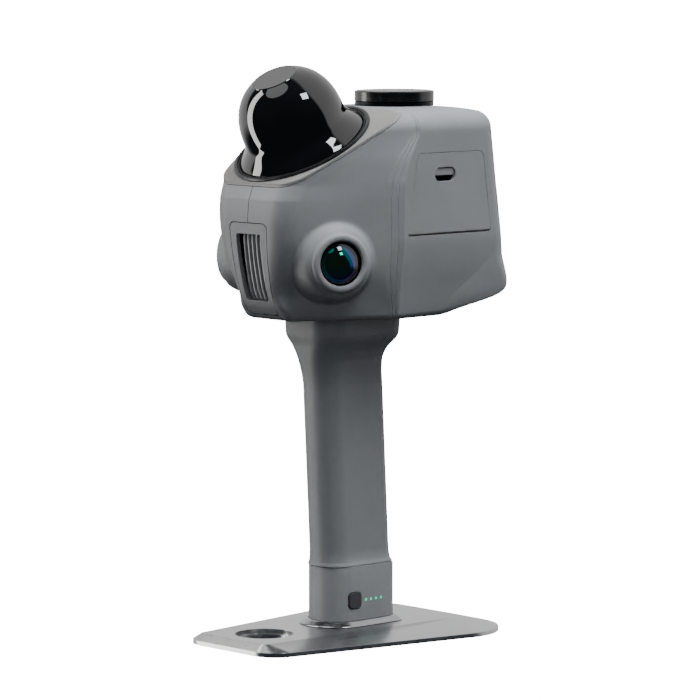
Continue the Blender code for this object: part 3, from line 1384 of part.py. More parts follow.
def bench_plate():
    flat = mirrored([
        (FLAT_FRONT_HALF, -FLAT_FRONT, FLAT_FRONT_CORNER, PLATE_STEPS),
        (FLAT_BACK_HALF, FLAT_BACK, FLAT_BACK_CORNER, PLATE_STEPS),
    ])
    edge = rounded(plate_corners(0.0))
    plate = loft("base_plate", [(edge, PLATE_LIFT), (edge, PLATE_EDGE), (rounded(flat), PLATE_TOP)], ALUMINIUM)
    hole = at(0, -HOLE_AHEAD, 0)
    cut(plate, rod("survey_hole", HOLE_RADIUS - HOLE_LEDGE, -OVERRUN, OVERRUN, None, hole, FINE))
    cut(plate, rod("survey_ledge", HOLE_RADIUS, PLATE_TOP - HOLE_LEDGE_DEPTH, OVERRUN, None, hole, FINE))
    pad_top = PAD_THICKNESS
    cut(plate, sheet("pad_recess", rounded(plate_corners(PAD_INSET - GAP)), -OVERRUN, pad_top + GAP))
    screw_place = at(0, FOOT_BEHIND, 0)
    seat = BASE_SCREW_RECESS + BASE_SCREW_HEAD_DEPTH + GAP
    cut(plate, rod("base_screw_seat", BASE_SCREW_HEAD + GAP, -OVERRUN, seat, None, screw_place))
    cut(plate, rod("base_screw_hole", BASE_SCREW_RADIUS + GAP, -OVERRUN, OVERRUN, None, screw_place, SMALL))

    pad = sheet("base_pad", rounded(plate_corners(PAD_INSET)), 0.0, pad_top, RUBBER)
    cut(pad, rod("pad_survey_hole", HOLE_RADIUS + PAD_HOLE_MARGIN - HOLE_LEDGE, -OVERRUN, OVERRUN, None, hole))
    cut(pad, rod("pad_screw_hole", BASE_SCREW_HEAD + PAD_HOLE_MARGIN / 2, -OVERRUN, OVERRUN, None, screw_place))

    head_top = BASE_SCREW_RECESS + BASE_SCREW_HEAD_DEPTH
    screw = turned(
        "base_screw",
        [
            (0.0, BASE_SCREW_TIP),
            (BASE_SCREW_RADIUS, BASE_SCREW_TIP),
            (BASE_SCREW_RADIUS, head_top),
            (BASE_SCREW_HEAD, head_top),
            (BASE_SCREW_HEAD, BASE_SCREW_RECESS),
            (0.0, BASE_SCREW_RECESS),
        ],
        STEEL, screw_place, steps=ROUND,
    )
    cut(screw, box(
        "coin_slot",
        (2 * BASE_SCREW_HEAD - PAD_INSET, COIN_SLOT_WIDTH, 2 * COIN_SLOT_DEPTH),
        (0, 0, BASE_SCREW_RECESS), None, screw_place,
    ))


bench_plate()
bpy.context.view_layer.update()
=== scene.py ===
# %% [markdown]
# # A hand-held laser scanner on its bench plate
# A laser spins under the black dome and measures a room, two cameras in the sides colour what it
# measures, and a battery in the grip feeds them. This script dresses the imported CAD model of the
# scanner: it loads that model, makes finer outer pieces over it, and gives each piece its material.
# Sizes are written in millimetres, as a maker would read them off a rule, and `MM` turns them into
# Blender's metres.

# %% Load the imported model
import contextlib
import json
import math

import bmesh
import bpy
import numpy as np
from mathutils import Matrix, Vector


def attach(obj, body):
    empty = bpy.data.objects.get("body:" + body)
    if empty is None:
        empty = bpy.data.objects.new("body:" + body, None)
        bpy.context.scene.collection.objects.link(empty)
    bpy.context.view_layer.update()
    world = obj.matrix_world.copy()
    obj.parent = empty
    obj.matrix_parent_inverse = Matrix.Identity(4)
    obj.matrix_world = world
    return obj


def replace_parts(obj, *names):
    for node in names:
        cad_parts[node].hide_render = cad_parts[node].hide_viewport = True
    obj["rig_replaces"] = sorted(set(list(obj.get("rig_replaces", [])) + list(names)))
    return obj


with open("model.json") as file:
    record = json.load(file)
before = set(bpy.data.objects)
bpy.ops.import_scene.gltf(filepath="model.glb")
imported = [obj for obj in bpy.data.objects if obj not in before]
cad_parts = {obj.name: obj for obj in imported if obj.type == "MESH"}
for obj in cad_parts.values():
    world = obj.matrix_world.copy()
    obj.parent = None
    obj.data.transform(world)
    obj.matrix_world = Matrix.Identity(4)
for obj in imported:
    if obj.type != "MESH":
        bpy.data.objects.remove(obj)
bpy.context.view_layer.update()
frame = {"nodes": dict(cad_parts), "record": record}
MM = 0.001

# %% [markdown]
# ## Places that several pieces share
# The scanner's front is -Y, and its right side, with the card door, is +X. Some pieces are drawn
# flat and then stood up, so each has a frame of its own: a matrix that says where its local X, Y
# and Z point. The lidar and its deck lean back by 29 degrees, and the cameras look out sideways.

# %% Frames of the pieces
DECK_TILT = math.radians(28.94)
CAMERA_TURN = math.radians(69.3)
SCREEN_LEAN = math.radians(7.59)


def at(x, y, z):
    """A shift, in millimetres."""
    return Matrix.Translation((x * MM, y * MM, z * MM))


UPRIGHT = Matrix.Identity(4)
TO_SIDE = Matrix(((0, 0, 1, 0), (1, 0, 0, 0), (0, 1, 0, 0), (0, 0, 0, 1)))  # drawn in YZ, thick along +X
TO_FRONT = Matrix(((1, 0, 0, 0), (0, 0, -1, 0), (0, 1, 0, 0), (0, 0, 0, 1)))  # drawn in XZ, thick along -Y
LIDAR = at(0, -24.1, 237.4) @ Matrix.Rotation(DECK_TILT, 4, "X")
CAP = at(0, 35.8, 0)
CAMERA = {
    side: at(side * 33.0, -32.6, 183.0) @ Matrix.Rotation(side * CAMERA_TURN, 4, "Z") @ TO_FRONT
    for side in (-1, 1)
}
SCREEN = (
    at(0, 66.61, 209.0) @ Matrix.Rotation(SCREEN_LEAN, 4, "X") @ Matrix.Rotation(math.pi, 4, "Z") @ TO_FRONT
)
print("lidar axis:", [round(v, 3) for v in LIDAR.to_3x3() @ Vector((0, 0, 1))])

# %% [markdown]
# ## Working as by hand
# Operators act on whatever is selected, just as keys do in Blender's window. `alone` clicks on one
# object, `shaping` goes in and out of edit mode on it, and `pick` selects the corners, edges or
# faces that pass a test on their place. `clean` merges doubles and turns all faces outwards.

# %% Selecting and shaping
def alone(thing):
    """Selects one object and nothing else."""
    bpy.ops.object.select_all(action="DESELECT")
    thing.select_set(True)
    bpy.context.view_layer.objects.active = thing


@contextlib.contextmanager
def shaping(thing, kind="VERT"):
    """Edit mode on one object, with nothing selected."""
    alone(thing)
    bpy.ops.object.mode_set(mode="EDIT")
    bpy.ops.mesh.select_mode(type=kind)
    bpy.ops.mesh.select_all(action="DESELECT")
    yield
    bpy.ops.object.mode_set(mode="OBJECT")


def pick(thing, kind, test):
    """Selects the verts, edges or faces of the shape being edited that pass the test."""
    bpy.ops.mesh.select_all(action="DESELECT")
    work = bmesh.from_edit_mesh(thing.data)
    found = [part for part in getattr(work, kind) if test(part)]
    for part in found:
        part.select_set(True)
    bmesh.update_edit_mesh(thing.data)
    return len(found)


def clean(thing, merge=0.002):
    """Merges doubles, removes loose leftovers and turns every face outwards."""
    with shaping(thing):
        bpy.ops.mesh.select_all(action="SELECT")
        bpy.ops.mesh.remove_doubles(threshold=merge * MM)
        bpy.ops.mesh.delete_loose(use_verts=True, use_edges=True, use_faces=False)
        bpy.ops.mesh.select_all(action="SELECT")
        bpy.ops.mesh.normals_make_consistent(inside=False)


def smooth(thing, degrees=32):
    """Smooth shading, with edges that turn by more than this left crisp."""
    alone(thing)
    bpy.ops.object.shade_smooth_by_angle(angle=math.radians(degrees))


def settle(thing, name, place=UPRIGHT):
    """Names a piece and puts its place into its mesh, so that its object sits at the origin."""
    thing.name = thing.data.name = name
    thing.matrix_world = place @ thing.matrix_world
    alone(thing)
    bpy.ops.object.transform_apply(location=True, rotation=True, scale=True)
    return thing


# %% Taking away, keeping and rounding
def carve(thing, cutters, operation="DIFFERENCE"):
    """Applies one boolean with all the cutters, and throws them away."""
    bench = bpy.data.collections.new("cutters")
    bpy.context.scene.collection.children.link(bench)
    for cutter in cutters:
        for home in list(cutter.users_collection):
            home.objects.unlink(cutter)
        bench.objects.link(cutter)
    modifier = thing.modifiers.new("carve", "BOOLEAN")
    modifier.operation = operation
    modifier.solver = "EXACT"
    modifier.operand_type = "COLLECTION"
    modifier.collection = bench
    alone(thing)
    bpy.ops.object.modifier_apply(modifier=modifier.name)
    for cutter in cutters:
        bpy.data.objects.remove(cutter, do_unlink=True)
    bpy.data.collections.remove(bench)
    return thing


def soften(thing, width, segments=2, degrees=32):
    """Rounds every edge that turns by more than an angle, then shades it smooth. Weighted normals
    keep the wide flat faces flat, with all the shading in the narrow bevels."""
    modifier = thing.modifiers.new("soften", "BEVEL")
    modifier.width = width * MM
    modifier.segments = segments
    modifier.limit_method = "ANGLE"
    modifier.angle_limit = math.radians(degrees)
    modifier.use_clamp_overlap = True
    alone(thing)
    bpy.ops.object.modifier_apply(modifier=modifier.name)
    smooth(thing)
    return flatten(thing)


def flatten(thing):
    """Lets large faces decide the normals at their corners."""
    modifier = thing.modifiers.new("flat faces", "WEIGHTED_NORMAL")
    modifier.keep_sharp = True
    alone(thing)
    bpy.ops.object.modifier_apply(modifier=modifier.name)
    return thing


# %% [markdown]
# ## Four ways to start a piece
# - `plate`: a circle primitive bent to a flat outline and extruded. Doors, panels and pads.
# - `turned`: a circle primitive bent to a profile and spun about its axis, as on a lathe. The dome,
#   rings, caps and lenses.
# - `skin`: a grid primitive whose rows are laid on a stack of outlines. The head and the grip are
#   too freely curved for extrusions alone, and a dense grid shades them without facets.
# - `block`: a cube primitive at its size and place, only ever as a cutter or to be shaped further.

# %% Outlines
def rounded(corners):
    """A closed outline from (x, y, radius, steps, along) corners: each becomes an arc, and the
    straight after it is divided into `along` pieces."""
    arcs = []
    count = len(corners)
    for i, (x, y, radius, steps, _) in enumerate(corners):
        here = Vector((x, y))
        back = (Vector(corners[i - 1][:2]) - here).normalized()
        ahead = (Vector(corners[(i + 1) % count][:2]) - here).normalized()
        turn = math.pi - back.angle(ahead)
        reach = radius * math.tan(turn / 2)
        centre = here + (back + ahead).normalized() * (radius / math.cos(turn / 2))
        first = here + back * reach - centre
        side = 1.0 if back.x * ahead.y - back.y * ahead.x < 0 else -1.0
        arcs.append([centre + Matrix.Rotation(side * turn * n / steps, 2) @ first for n in range(steps + 1)])
    points = []
    for i, arc in enumerate(arcs):
        points += arc
        along = corners[i][4]
        start, end = arc[-1], arcs[(i + 1) % count][0]
        points += [start.lerp(end, n / along) for n in range(1, along)]
    return points


def mirrored(right):
    """Corners on +X from front to back, and their twins on -X from back to front."""
    twins = [(-x, y, radius, steps, along) for x, y, radius, steps, along in reversed(right)]
    shifted = [corner[4] for corner in twins[1:]] + [twins[0][4]]
    return right + [(*corner[:4], along) for corner, along in zip(twins, shifted)]


def box_corners(half, low, high, radius, steps=6):
    return [(x, y, radius, steps, 1) for x, y in ((-half, low), (half, low), (half, high), (-half, high))]


# %% Starting shapes
def plate(points, low, high, place=UPRIGHT, name="plate"):
    """A flat outline, thick from low to high."""
    bpy.ops.mesh.primitive_circle_add(vertices=len(points), radius=1.0, fill_type="NGON", location=(0, 0, 0))
    thing = bpy.context.object
    for vertex, (x, y) in zip(thing.data.vertices, points):
        vertex.co = (x * MM, y * MM, low * MM)
    with shaping(thing, "FACE"):
        bpy.ops.mesh.select_all(action="SELECT")
        bpy.ops.mesh.extrude_region_move(TRANSFORM_OT_translate={"value": (0, 0, (high - low) * MM)})
        bpy.ops.mesh.select_all(action="SELECT")
        bpy.ops.mesh.normals_make_consistent(inside=False)
    return settle(thing, name, place)


def turned(profile, place=UPRIGHT, name="turned", sides=96, degrees=32):
    """Radius and height pairs of a closed profile, spun about the local Z axis."""
    bpy.ops.mesh.primitive_circle_add(vertices=len(profile), radius=1.0, location=(0, 0, 0))
    thing = bpy.context.object
    for vertex, (radius, height) in zip(thing.data.vertices, profile):
        vertex.co = (radius * MM, 0, height * MM)
    with shaping(thing):
        bpy.ops.mesh.select_all(action="SELECT")
        bpy.ops.mesh.spin(steps=sides, angle=math.tau, center=(0, 0, 0), axis=(0, 0, 1))
    clean(thing)
    settle(thing, name, place)
    smooth(thing, degrees)
    return thing


def skin(ribs, name="skin"):
    """A closed form over a stack of (points, height) outlines, bottom to top."""
    around, up = len(ribs[0][0]), len(ribs)
    bpy.ops.mesh.primitive_grid_add(
        x_subdivisions=around, y_subdivisions=up - 1, size=1.0, location=(0, 0, 0)
    )
    thing = bpy.context.object
    flat = []
    for points, height in ribs:
        for x, y in [*points, points[0]]:
            flat += (x * MM, y * MM, height * MM)
    thing.data.vertices.foreach_set("co", flat)
    low, high = ribs[0][1] * MM, ribs[-1][1] * MM
    clean(thing)
    with shaping(thing, "EDGE"):
        for level in (low, high):
            pick(thing, "edges", lambda e: e.is_boundary and all(
                abs(v.co.z - level) < MM / 1000 for v in e.verts))
            bpy.ops.mesh.edge_face_add()
        bpy.ops.mesh.select_all(action="SELECT")
        bpy.ops.mesh.normals_make_consistent(inside=False)
    return settle(thing, name)


def block(low, high, place=UPRIGHT, name="block"):
    """A box between two corners of its own frame."""
    middle = [(a + b) / 2 * MM for a, b in zip(low, high)]
    size = [(b - a) * MM for a, b in zip(low, high)]
    bpy.ops.mesh.primitive_cube_add(size=1.0, location=middle, scale=size)
    return settle(bpy.context.object, name, place)


def rod(radius, low, high, place=UPRIGHT, sides=64):
    return turned([(0, low), (radius, low), (radius, high), (0, high)], place, "rod", sides)


def twin(thing, name):
    """A copy with its own mesh."""
    copy = thing.copy()
    copy.data = thing.data.copy()
    bpy.context.scene.collection.objects.link(copy)
    copy.name = copy.data.name = name
    return copy


# %% [markdown]
# ## Bookkeeping
# Each new piece rides on one CAD body, so that it moves with the joints, and it may stand for a CAD node, which
# is then hidden. The table below gives each CAD node its body.

# %% Handing a piece over
NODE_BODY = {node: body for body, nodes in frame["record"]["behaviour"]["bodies"].items() for node in nodes}
made = []


def hand_over(piece, material, slot, *nodes, body=None):
    """Gives a piece its material, its body and the CAD nodes that it stands for. The slot is not used."""
    piece.data.materials.clear()
    piece.data.materials.append(material)
    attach(piece, body or NODE_BODY[nodes[0]])
    if nodes:
        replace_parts(piece, *nodes)
    made.append(piece)
    print(f"{piece.name}: {len(piece.data.polygons)} faces")
    return piece


# %% [markdown]
# ## Materials
# Each material starts from what the real thing is made of. `rgb` turns a hex colour, as a paint
# chart gives it, into the linear values that Blender renders with, and `add` puts one node into a
# material with its settings and whatever feeds it. Patterns are sized in millimetres: a texture's
# scale is how many of them fit in a metre.

# %% Colour and nodes
def rgb(code):
    """Linear colour of an sRGB hex code."""
    parts = [int(code[i:i + 2], 16) / 255 for i in (1, 3, 5)]
    return (*[c / 12.92 if c <= 0.04045 else ((c + 0.055) / 1.055) ** 2.4 for c in parts], 1.0)


def per_metre(size):
    """Texture scale for a pattern of this size in millimetres."""
    return 1000.0 / size


def add(tree, kind, feeds, **settings):
    """One node: its settings, then its inputs, each a value or the socket that feeds it."""
    new = tree.nodes.new(kind)
    for name, value in settings.items():
        setattr(new, name, value)
    for name, value in feeds.items():
        if isinstance(value, bpy.types.NodeSocket):
            tree.links.new(value, new.inputs[name])
        else:
            new.inputs[name].default_value = value
    return new


def material(name, **sockets):
    """A new material with its Principled shader's own sockets set."""
    made_of = bpy.data.materials.new(name)
    made_of.use_nodes = True
    shader = made_of.node_tree.nodes["Principled BSDF"]
    for socket, value in sockets.items():
        shader.inputs[socket.replace("_", " ")].default_value = value
    return made_of, made_of.node_tree, shader


def ramp(tree, fac, stops):
    """A colour ramp through (position, colour) stops."""
    new = add(tree, "ShaderNodeValToRGB", {"Fac": fac})
    band = new.color_ramp
    while len(band.elements) < len(stops):
        band.elements.new(0.5)
    for element, (position, colour) in zip(band.elements, stops):
        element.position = position
        element.color = colour
    return new.outputs["Color"]


def speckle(name, dark, light, grain, roughness, depth, metallic=0.0, ior=1.5, cloud=30.0):
    """A moulded, painted or blasted surface: two close colours in soft clouds, with a fine grain
    that lifts the surface and varies its gloss. Grain and cloud sizes are in millimetres."""
    made_of, tree, shader = material(name, Metallic=metallic, IOR=ior)
    place = add(tree, "ShaderNodeTexCoord", {}).outputs["Object"]
    clouds = add(tree, "ShaderNodeTexNoise", {"Vector": place, "Scale": per_metre(cloud), "Detail": 3.0})
    fine = add(tree, "ShaderNodeTexNoise", {"Vector": place, "Scale": per_metre(grain), "Detail": 2.0})
    both = add(
        tree, "ShaderNodeMix", {"Factor": 0.45, "A": clouds.outputs["Fac"], "B": fine.outputs["Fac"]}
    ).outputs["Result"]
    tree.links.new(ramp(tree, both, [(0.35, rgb(dark)), (0.65, rgb(light))]), shader.inputs["Base Color"])
    gloss = add(tree, "ShaderNodeMapRange", {
        "Value": fine.outputs["Fac"], "From Min": 0.3, "From Max": 0.7,
        "To Min": roughness - 0.05, "To Max": roughness + 0.05,
    })
    tree.links.new(gloss.outputs["Result"], shader.inputs["Roughness"])
    bump = add(tree, "ShaderNodeBump", {
        "Height": fine.outputs["Fac"], "Strength": 0.35, "Distance": depth * MM,
    })
    tree.links.new(bump.outputs["Normal"], shader.inputs["Normal"])
    return made_of


# %% [markdown]
# The casings are PC-ABS, injection moulded in a tool with a fine spark-eroded texture: mid grey,
# matt, with a pebbled grain of about 0.3 mm. The deck is the same plastic with a warm grey paint.

# %% Casing and deck
moulded_grey = speckle("moulded_grey_pc_abs", "#6a6c6f", "#717376", 0.30, 0.54, 0.03, ior=1.56)
deck_paint = speckle("warm_grey_soft_paint", "#62615f", "#696866", 0.22, 0.50, 0.02)

# %% [markdown]
# The dome is acrylic that only infra-red light passes, polished until it mirrors the room, and the
# cap on top is black ABS with a satin gloss. Both are so dark that nearly all they show is
# reflection. A very weak, wide waviness keeps those reflections from looking computed.

# %% Gloss blacks
def gloss_black(name, colour, roughness, ior, wave):
    made_of, tree, shader = material(name, Roughness=roughness, IOR=ior)
    place = add(tree, "ShaderNodeTexCoord", {}).outputs["Object"]
    slow = add(tree, "ShaderNodeTexNoise", {"Vector": place, "Scale": per_metre(wave), "Detail": 1.0})
    tint = ramp(tree, slow.outputs["Fac"], [(0.3, rgb(colour)), (0.7, rgb("#060607"))])
    tree.links.new(tint, shader.inputs["Base Color"])
    bump = add(tree, "ShaderNodeBump", {
        "Height": slow.outputs["Fac"], "Strength": 0.15, "Distance": 0.02 * MM,
    })
    tree.links.new(bump.outputs["Normal"], shader.inputs["Normal"])
    return made_of


dome_acrylic = gloss_black("infra_red_acrylic", "#020202", 0.03, 1.75, 18.0)
gloss_abs = gloss_black("gloss_black_abs", "#050506", 0.09, 1.54, 14.0)
satin_abs = gloss_black("satin_black_abs", "#050506", 0.24, 1.54, 14.0)
matt_rubber = speckle("black_silicone_rubber", "#121213", "#1a1a1b", 0.35, 0.75, 0.03, ior=1.42)
soft_button = speckle("soft_touch_button", "#26282c", "#2e3035", 0.25, 0.55, 0.02)

# %% [markdown]
# The plate is aluminium, brushed along its length and clear anodised. Brushing leaves fine parallel
# scratches: noise stretched along the brush stroke, in tint and gloss, and where the scratches are
# deeper also in height. The metal parts inside share the same function with a shorter stroke.

# %% Metals
def brushed(name, dark, light, roughness, stroke, depth=0.01, anisotropic=0.5):
    """Brushed metal; stroke gives the scratches' size along X, Y and Z, all in millimetres."""
    made_of, tree, shader = material(name, Metallic=1.0, Anisotropic=anisotropic)
    place = add(tree, "ShaderNodeTexCoord", {}).outputs["Object"]
    stretch = add(tree, "ShaderNodeMapping", {"Vector": place, "Scale": [per_metre(size) for size in stroke]})
    lines = add(tree, "ShaderNodeTexNoise", {
        "Vector": stretch.outputs["Vector"], "Scale": 1.0, "Detail": 2.0,
    })
    tint = ramp(tree, lines.outputs["Fac"], [(0.3, rgb(dark)), (0.7, rgb(light))])
    tree.links.new(tint, shader.inputs["Base Color"])
    gloss = add(tree, "ShaderNodeMapRange", {
        "Value": lines.outputs["Fac"], "From Min": 0.3, "From Max": 0.7,
        "To Min": roughness - 0.03, "To Max": roughness + 0.03,
    })
    tree.links.new(gloss.outputs["Result"], shader.inputs["Roughness"])
    if depth:
        bump = add(tree, "ShaderNodeBump", {
            "Height": lines.outputs["Fac"], "Strength": 0.3, "Distance": depth * MM,
        })
        tree.links.new(bump.outputs["Normal"], shader.inputs["Normal"])
    return made_of


brushed_plate = brushed("brushed_anodised_aluminium", "#bfc0c1", "#c3c4c5", 0.30, (1.2, 80.0, 1.2), 0.0, 0.0)
polished_ring = brushed("polished_aluminium", "#a4a6a8", "#b4b6b8", 0.20, (6.0, 6.0, 0.25), 0.003)
satin_metal = brushed("satin_aluminium", "#a6a8aa", "#b8babc", 0.34, (3.0, 0.4, 3.0))
dark_anodised = brushed("dark_anodised_aluminium", "#3a3b3d", "#47484b", 0.30, (5.0, 5.0, 0.3), 0.004)
black_anodised = brushed("black_anodised_aluminium", "#16171a", "#1e1f22", 0.30, (5.0, 5.0, 0.3), 0.003)
fin_metal = speckle(
    "bead_blasted_grey_anodised_aluminium", "#8c8e91", "#989a9d", 0.30, 0.42, 0.02, metallic=0.4
)
steel = brushed("satin_stainless_steel", "#8e9092", "#a2a4a6", 0.26, (2.0, 2.0, 0.3))
front_mirror = brushed("front_surface_mirror", "#dfe1e3", "#e6e8ea", 0.06, (30.0, 30.0, 30.0), 0.001, 0.0)

# %% [markdown]
# A camera lens is black because nothing comes back out of its barrel, and its coating, a film a few
# hundred millionths of a millimetre thick, sends back a green tint that turns teal towards the rim.
# The shader's thin film does just that. The lens is a stack of glasses, so it mirrors each light
# more than once: the clear coat is the front glass, and the layer below takes its normals from a
# smaller sphere behind it, as the curved glass deeper in would.

# %% Glass and light
def coated_lens(name, centre):
    """Front glass over a deeper one, curved about a centre given in millimetres."""
    made_of, tree, shader = material(
        name, Roughness=0.04, IOR=2.05, Coat_Weight=1.0, Coat_Roughness=0.01, Coat_IOR=1.6,
        Thin_Film_Thickness=390.0, Thin_Film_IOR=1.38,
    )
    place = add(tree, "ShaderNodeTexCoord", {}).outputs["Object"]
    slow = add(tree, "ShaderNodeTexNoise", {"Vector": place, "Scale": per_metre(6.0), "Detail": 1.0})
    tint = ramp(tree, slow.outputs["Fac"], [(0.3, rgb("#010202")), (0.7, rgb("#030504"))])
    tree.links.new(tint, shader.inputs["Base Color"])
    outward = add(tree, "ShaderNodeVectorMath", {0: place, 1: centre}, operation="SUBTRACT")
    deeper = add(tree, "ShaderNodeVectorMath", {0: outward.outputs[0]}, operation="NORMALIZE")
    tree.links.new(deeper.outputs[0], shader.inputs["Normal"])
    return made_of


def lamp(name, colour, strength):
    made_of, tree, shader = material(name, Roughness=0.35, Emission_Strength=strength)
    shader.inputs["Emission Color"].default_value = rgb(colour)
    place = add(tree, "ShaderNodeTexCoord", {}).outputs["Object"]
    slow = add(tree, "ShaderNodeTexNoise", {"Vector": place, "Scale": per_metre(0.8)})
    tint = ramp(tree, slow.outputs["Fac"], [(0.3, rgb("#0a6b52")), (0.7, rgb(colour))])
    tree.links.new(tint, shader.inputs["Base Color"])
    return made_of


screen_gloss = gloss_black("screen_glass_black", "#040405", 0.05, 1.52, 40.0)
charge_light = lamp("green_charge_light", "#0fd69b", 1.1)

# %% [markdown]
# ## The head's form
# The head is one soft block with a few clear edges. From above, each side runs from a round front
# corner along a flat wall, which carries the camera, steps out over two narrow facets, and goes
# straight back to a round rear corner. The table gives those corners at 15 heights. Between them
# the corners are blended, and averaged over a few millimetres of height so that no level shows as
# a facet, except near the chamfer over the vent, which is crisp on the real one.

# %% Table of the head's levels
HEAD_LEVELS = (
    # z, front, corner x, corner radius, crease x, y, band x, y, fold x, y, rear x, y
    (155.2, 45.8, 15.2, 4.2, 38.4, -4.2, 41.1, -0.2, 40.5, 19.4, 39.3, 31.5),
    (158.0, 47.6, 15.2, 4.2, 38.6, -4.3, 41.4, -0.3, 41.1, 27.2, 40.9, 40.2),
    (160.6, 49.8, 15.0, 4.2, 39.0, -4.7, 41.8, -0.4, 41.6, 30.1, 42.6, 53.1),
    (163.1, 51.3, 14.3, 4.4, 39.4, -5.4, 42.2, -0.6, 42.0, 31.9, 43.9, 64.9),
    (166.6, 52.7, 13.1, 5.2, 39.9, -6.5, 42.7, -0.9, 42.6, 35.9, 44.9, 70.6),
    (170.5, 54.0, 13.8, 7.2, 40.5, -7.5, 43.3, -1.1, 43.2, 41.2, 45.3, 71.7),
    (176.9, 55.4, 17.2, 11.0, 41.1, -9.0, 44.3, -1.3, 44.3, 49.5, 45.8, 71.1),
    (184.8, 56.8, 20.9, 13.0, 41.5, -9.7, 45.3, -0.9, 45.3, 57.4, 46.0, 70.0),
    (194.0, 57.8, 23.5, 13.0, 41.7, -9.8, 46.0, -0.8, 46.0, 58.1, 46.0, 68.7),
    (203.1, 58.4, 24.4, 13.0, 41.7, -9.9, 46.0, -0.7, 46.0, 57.0, 46.0, 67.4),
    (212.8, 57.5, 25.1, 13.0, 41.8, -9.8, 46.0, -0.6, 46.0, 55.2, 46.0, 66.1),
    (219.9, 54.7, 25.8, 13.0, 42.0, -8.8, 46.0, -0.1, 46.0, 53.1, 46.0, 65.0),
    (231.0, 54.3, 26.9, 13.0, 43.0, -3.6, 46.0, 3.1, 46.0, 49.5, 46.0, 63.6),
    (239.2, 54.3, 27.6, 13.0, 43.9, 3.6, 46.0, 7.5, 46.0, 45.9, 46.0, 62.5),
    (243.4, 54.3, 28.1, 13.0, 44.3, 7.2, 46.0, 9.8, 46.0, 43.7, 46.0, 61.9),
)
HEAD_LOW, HEAD_HIGH = 155.2, 254.0
CHAMFER = (211.0, 222.0)  # heights between which edges stay crisp


LEVELS = np.array(HEAD_LEVELS)


def slopes(heights, values):
    """Slope of each column at each level, never steeper than its neighbours, so curves don't overshoot."""
    steps = np.diff(values, axis=0) / np.diff(heights)[:, None]
    product, total = steps[:-1] * steps[1:], steps[:-1] + steps[1:]
    inner = np.where(product > 0, 2 * product / (total + 1e-12), 0.0)
    return np.vstack([steps[:1], inner, steps[-1:]])


def level_at(z):
    """The table's row at a height: curved from level to level, and straight over the chamfer."""
    z = min(max(z, LEVELS[0, 0]), LEVELS[-1, 0])
    n = min(int(np.searchsorted(LEVELS[:, 0], z, side="right")) - 1, len(LEVELS) - 2)
    low, high = LEVELS[n], LEVELS[n + 1]
    rise = high[0] - low[0]
    t = (z - low[0]) / rise
    if low[0] >= 212.0:
        return low + (high - low) * t
    m = slopes(LEVELS[:, 0], LEVELS)
    return (
        (2 * t ** 3 - 3 * t ** 2 + 1) * low + (t ** 3 - 2 * t ** 2 + t) * rise * m[n]
        + (3 * t ** 2 - 2 * t ** 3) * high + (t ** 3 - t ** 2) * rise * m[n + 1]
    )


def soft_level(z):
    """The row averaged over the heights around it, the nearer ones counting more."""
    reach = 0.3 if CHAMFER[0] < z < CHAMFER[1] else 3.0
    weights = [7 - abs(n) for n in range(-6, 7)]
    return sum(w * level_at(z + reach * n / 6) for w, n in zip(weights, range(-6, 7))) / sum(weights)


# %% Outline of the head at a height
GROOVE = (0.28, 0.24)  # half width and depth of the fine lines in the band


def groove(start, end, share):
    """Corners of a small V across the line from start to end."""
    start, end = Vector(start), Vector(end)
    along = (end - start).normalized()
    middle = start.lerp(end, share)
    inward = Vector((-along.y, along.x)) * GROOVE[1]
    return [
        (*(middle - along * GROOVE[0]), 0.1, 1, 1), (*(middle + inward), 0.06, 1, 1),
        (*(middle + along * GROOVE[0]), 0.1, 1, 6),
    ]


def head_points(z):
    """Dense outline at a height, front to back on the right, then the left side."""
    _, front, corner, radius, crease, crease_y, band, band_y, fold, fold_y, rear, rear_y = soft_level(z)
    start, end = (crease, crease_y), (band, band_y)
    rear_radius = float(np.interp(z, (162.0, 182.0), (2.6, 10.0)))  # tight low down
    return rounded(mirrored([
        (corner, -front, radius, 12, 46),
        (*start, 0.5, 3, 6), *groove(start, end, 0.33), *groove(start, end, 0.68),
        (*end, 1.2, 4, 34),
        (fold, fold_y, 0.7, 4, 8),
        (rear, rear_y, rear_radius, 12, 36),
    ]))


def moved_in(points, inset):
    """The outline moved in. The directions are averaged along it, the wider the deeper it goes, so
    that tight corners and the two facets don't fold over themselves."""
    dots = np.array([tuple(p) for p in points])
    if inset <= 0:
        return dots
    step = np.roll(dots, -1, 0) - dots
    length = np.hypot(*step.T)
    along = np.concatenate([[0], np.cumsum(length)[:-1]])
    total = length.sum()
    normal = np.stack([step[:, 1], -step[:, 0]], 1)
    normal = normal + np.roll(normal, 1, 0)
    apart = np.abs(along[:, None] - along[None, :])
    apart = np.minimum(apart, total - apart)
    weight = np.clip(1 - apart / (2.5 + 1.9 * inset), 0, None)
    soft = weight @ normal
    soft /= np.hypot(*soft.T)[:, None]
    return dots - soft * inset


print("points round the head:", len(head_points(200.0)))

# %% Ribs of the head, and the form itself
TOP_ROLL, BOTTOM_ROLL, CROWN = 9.0, 3.0, 1.5


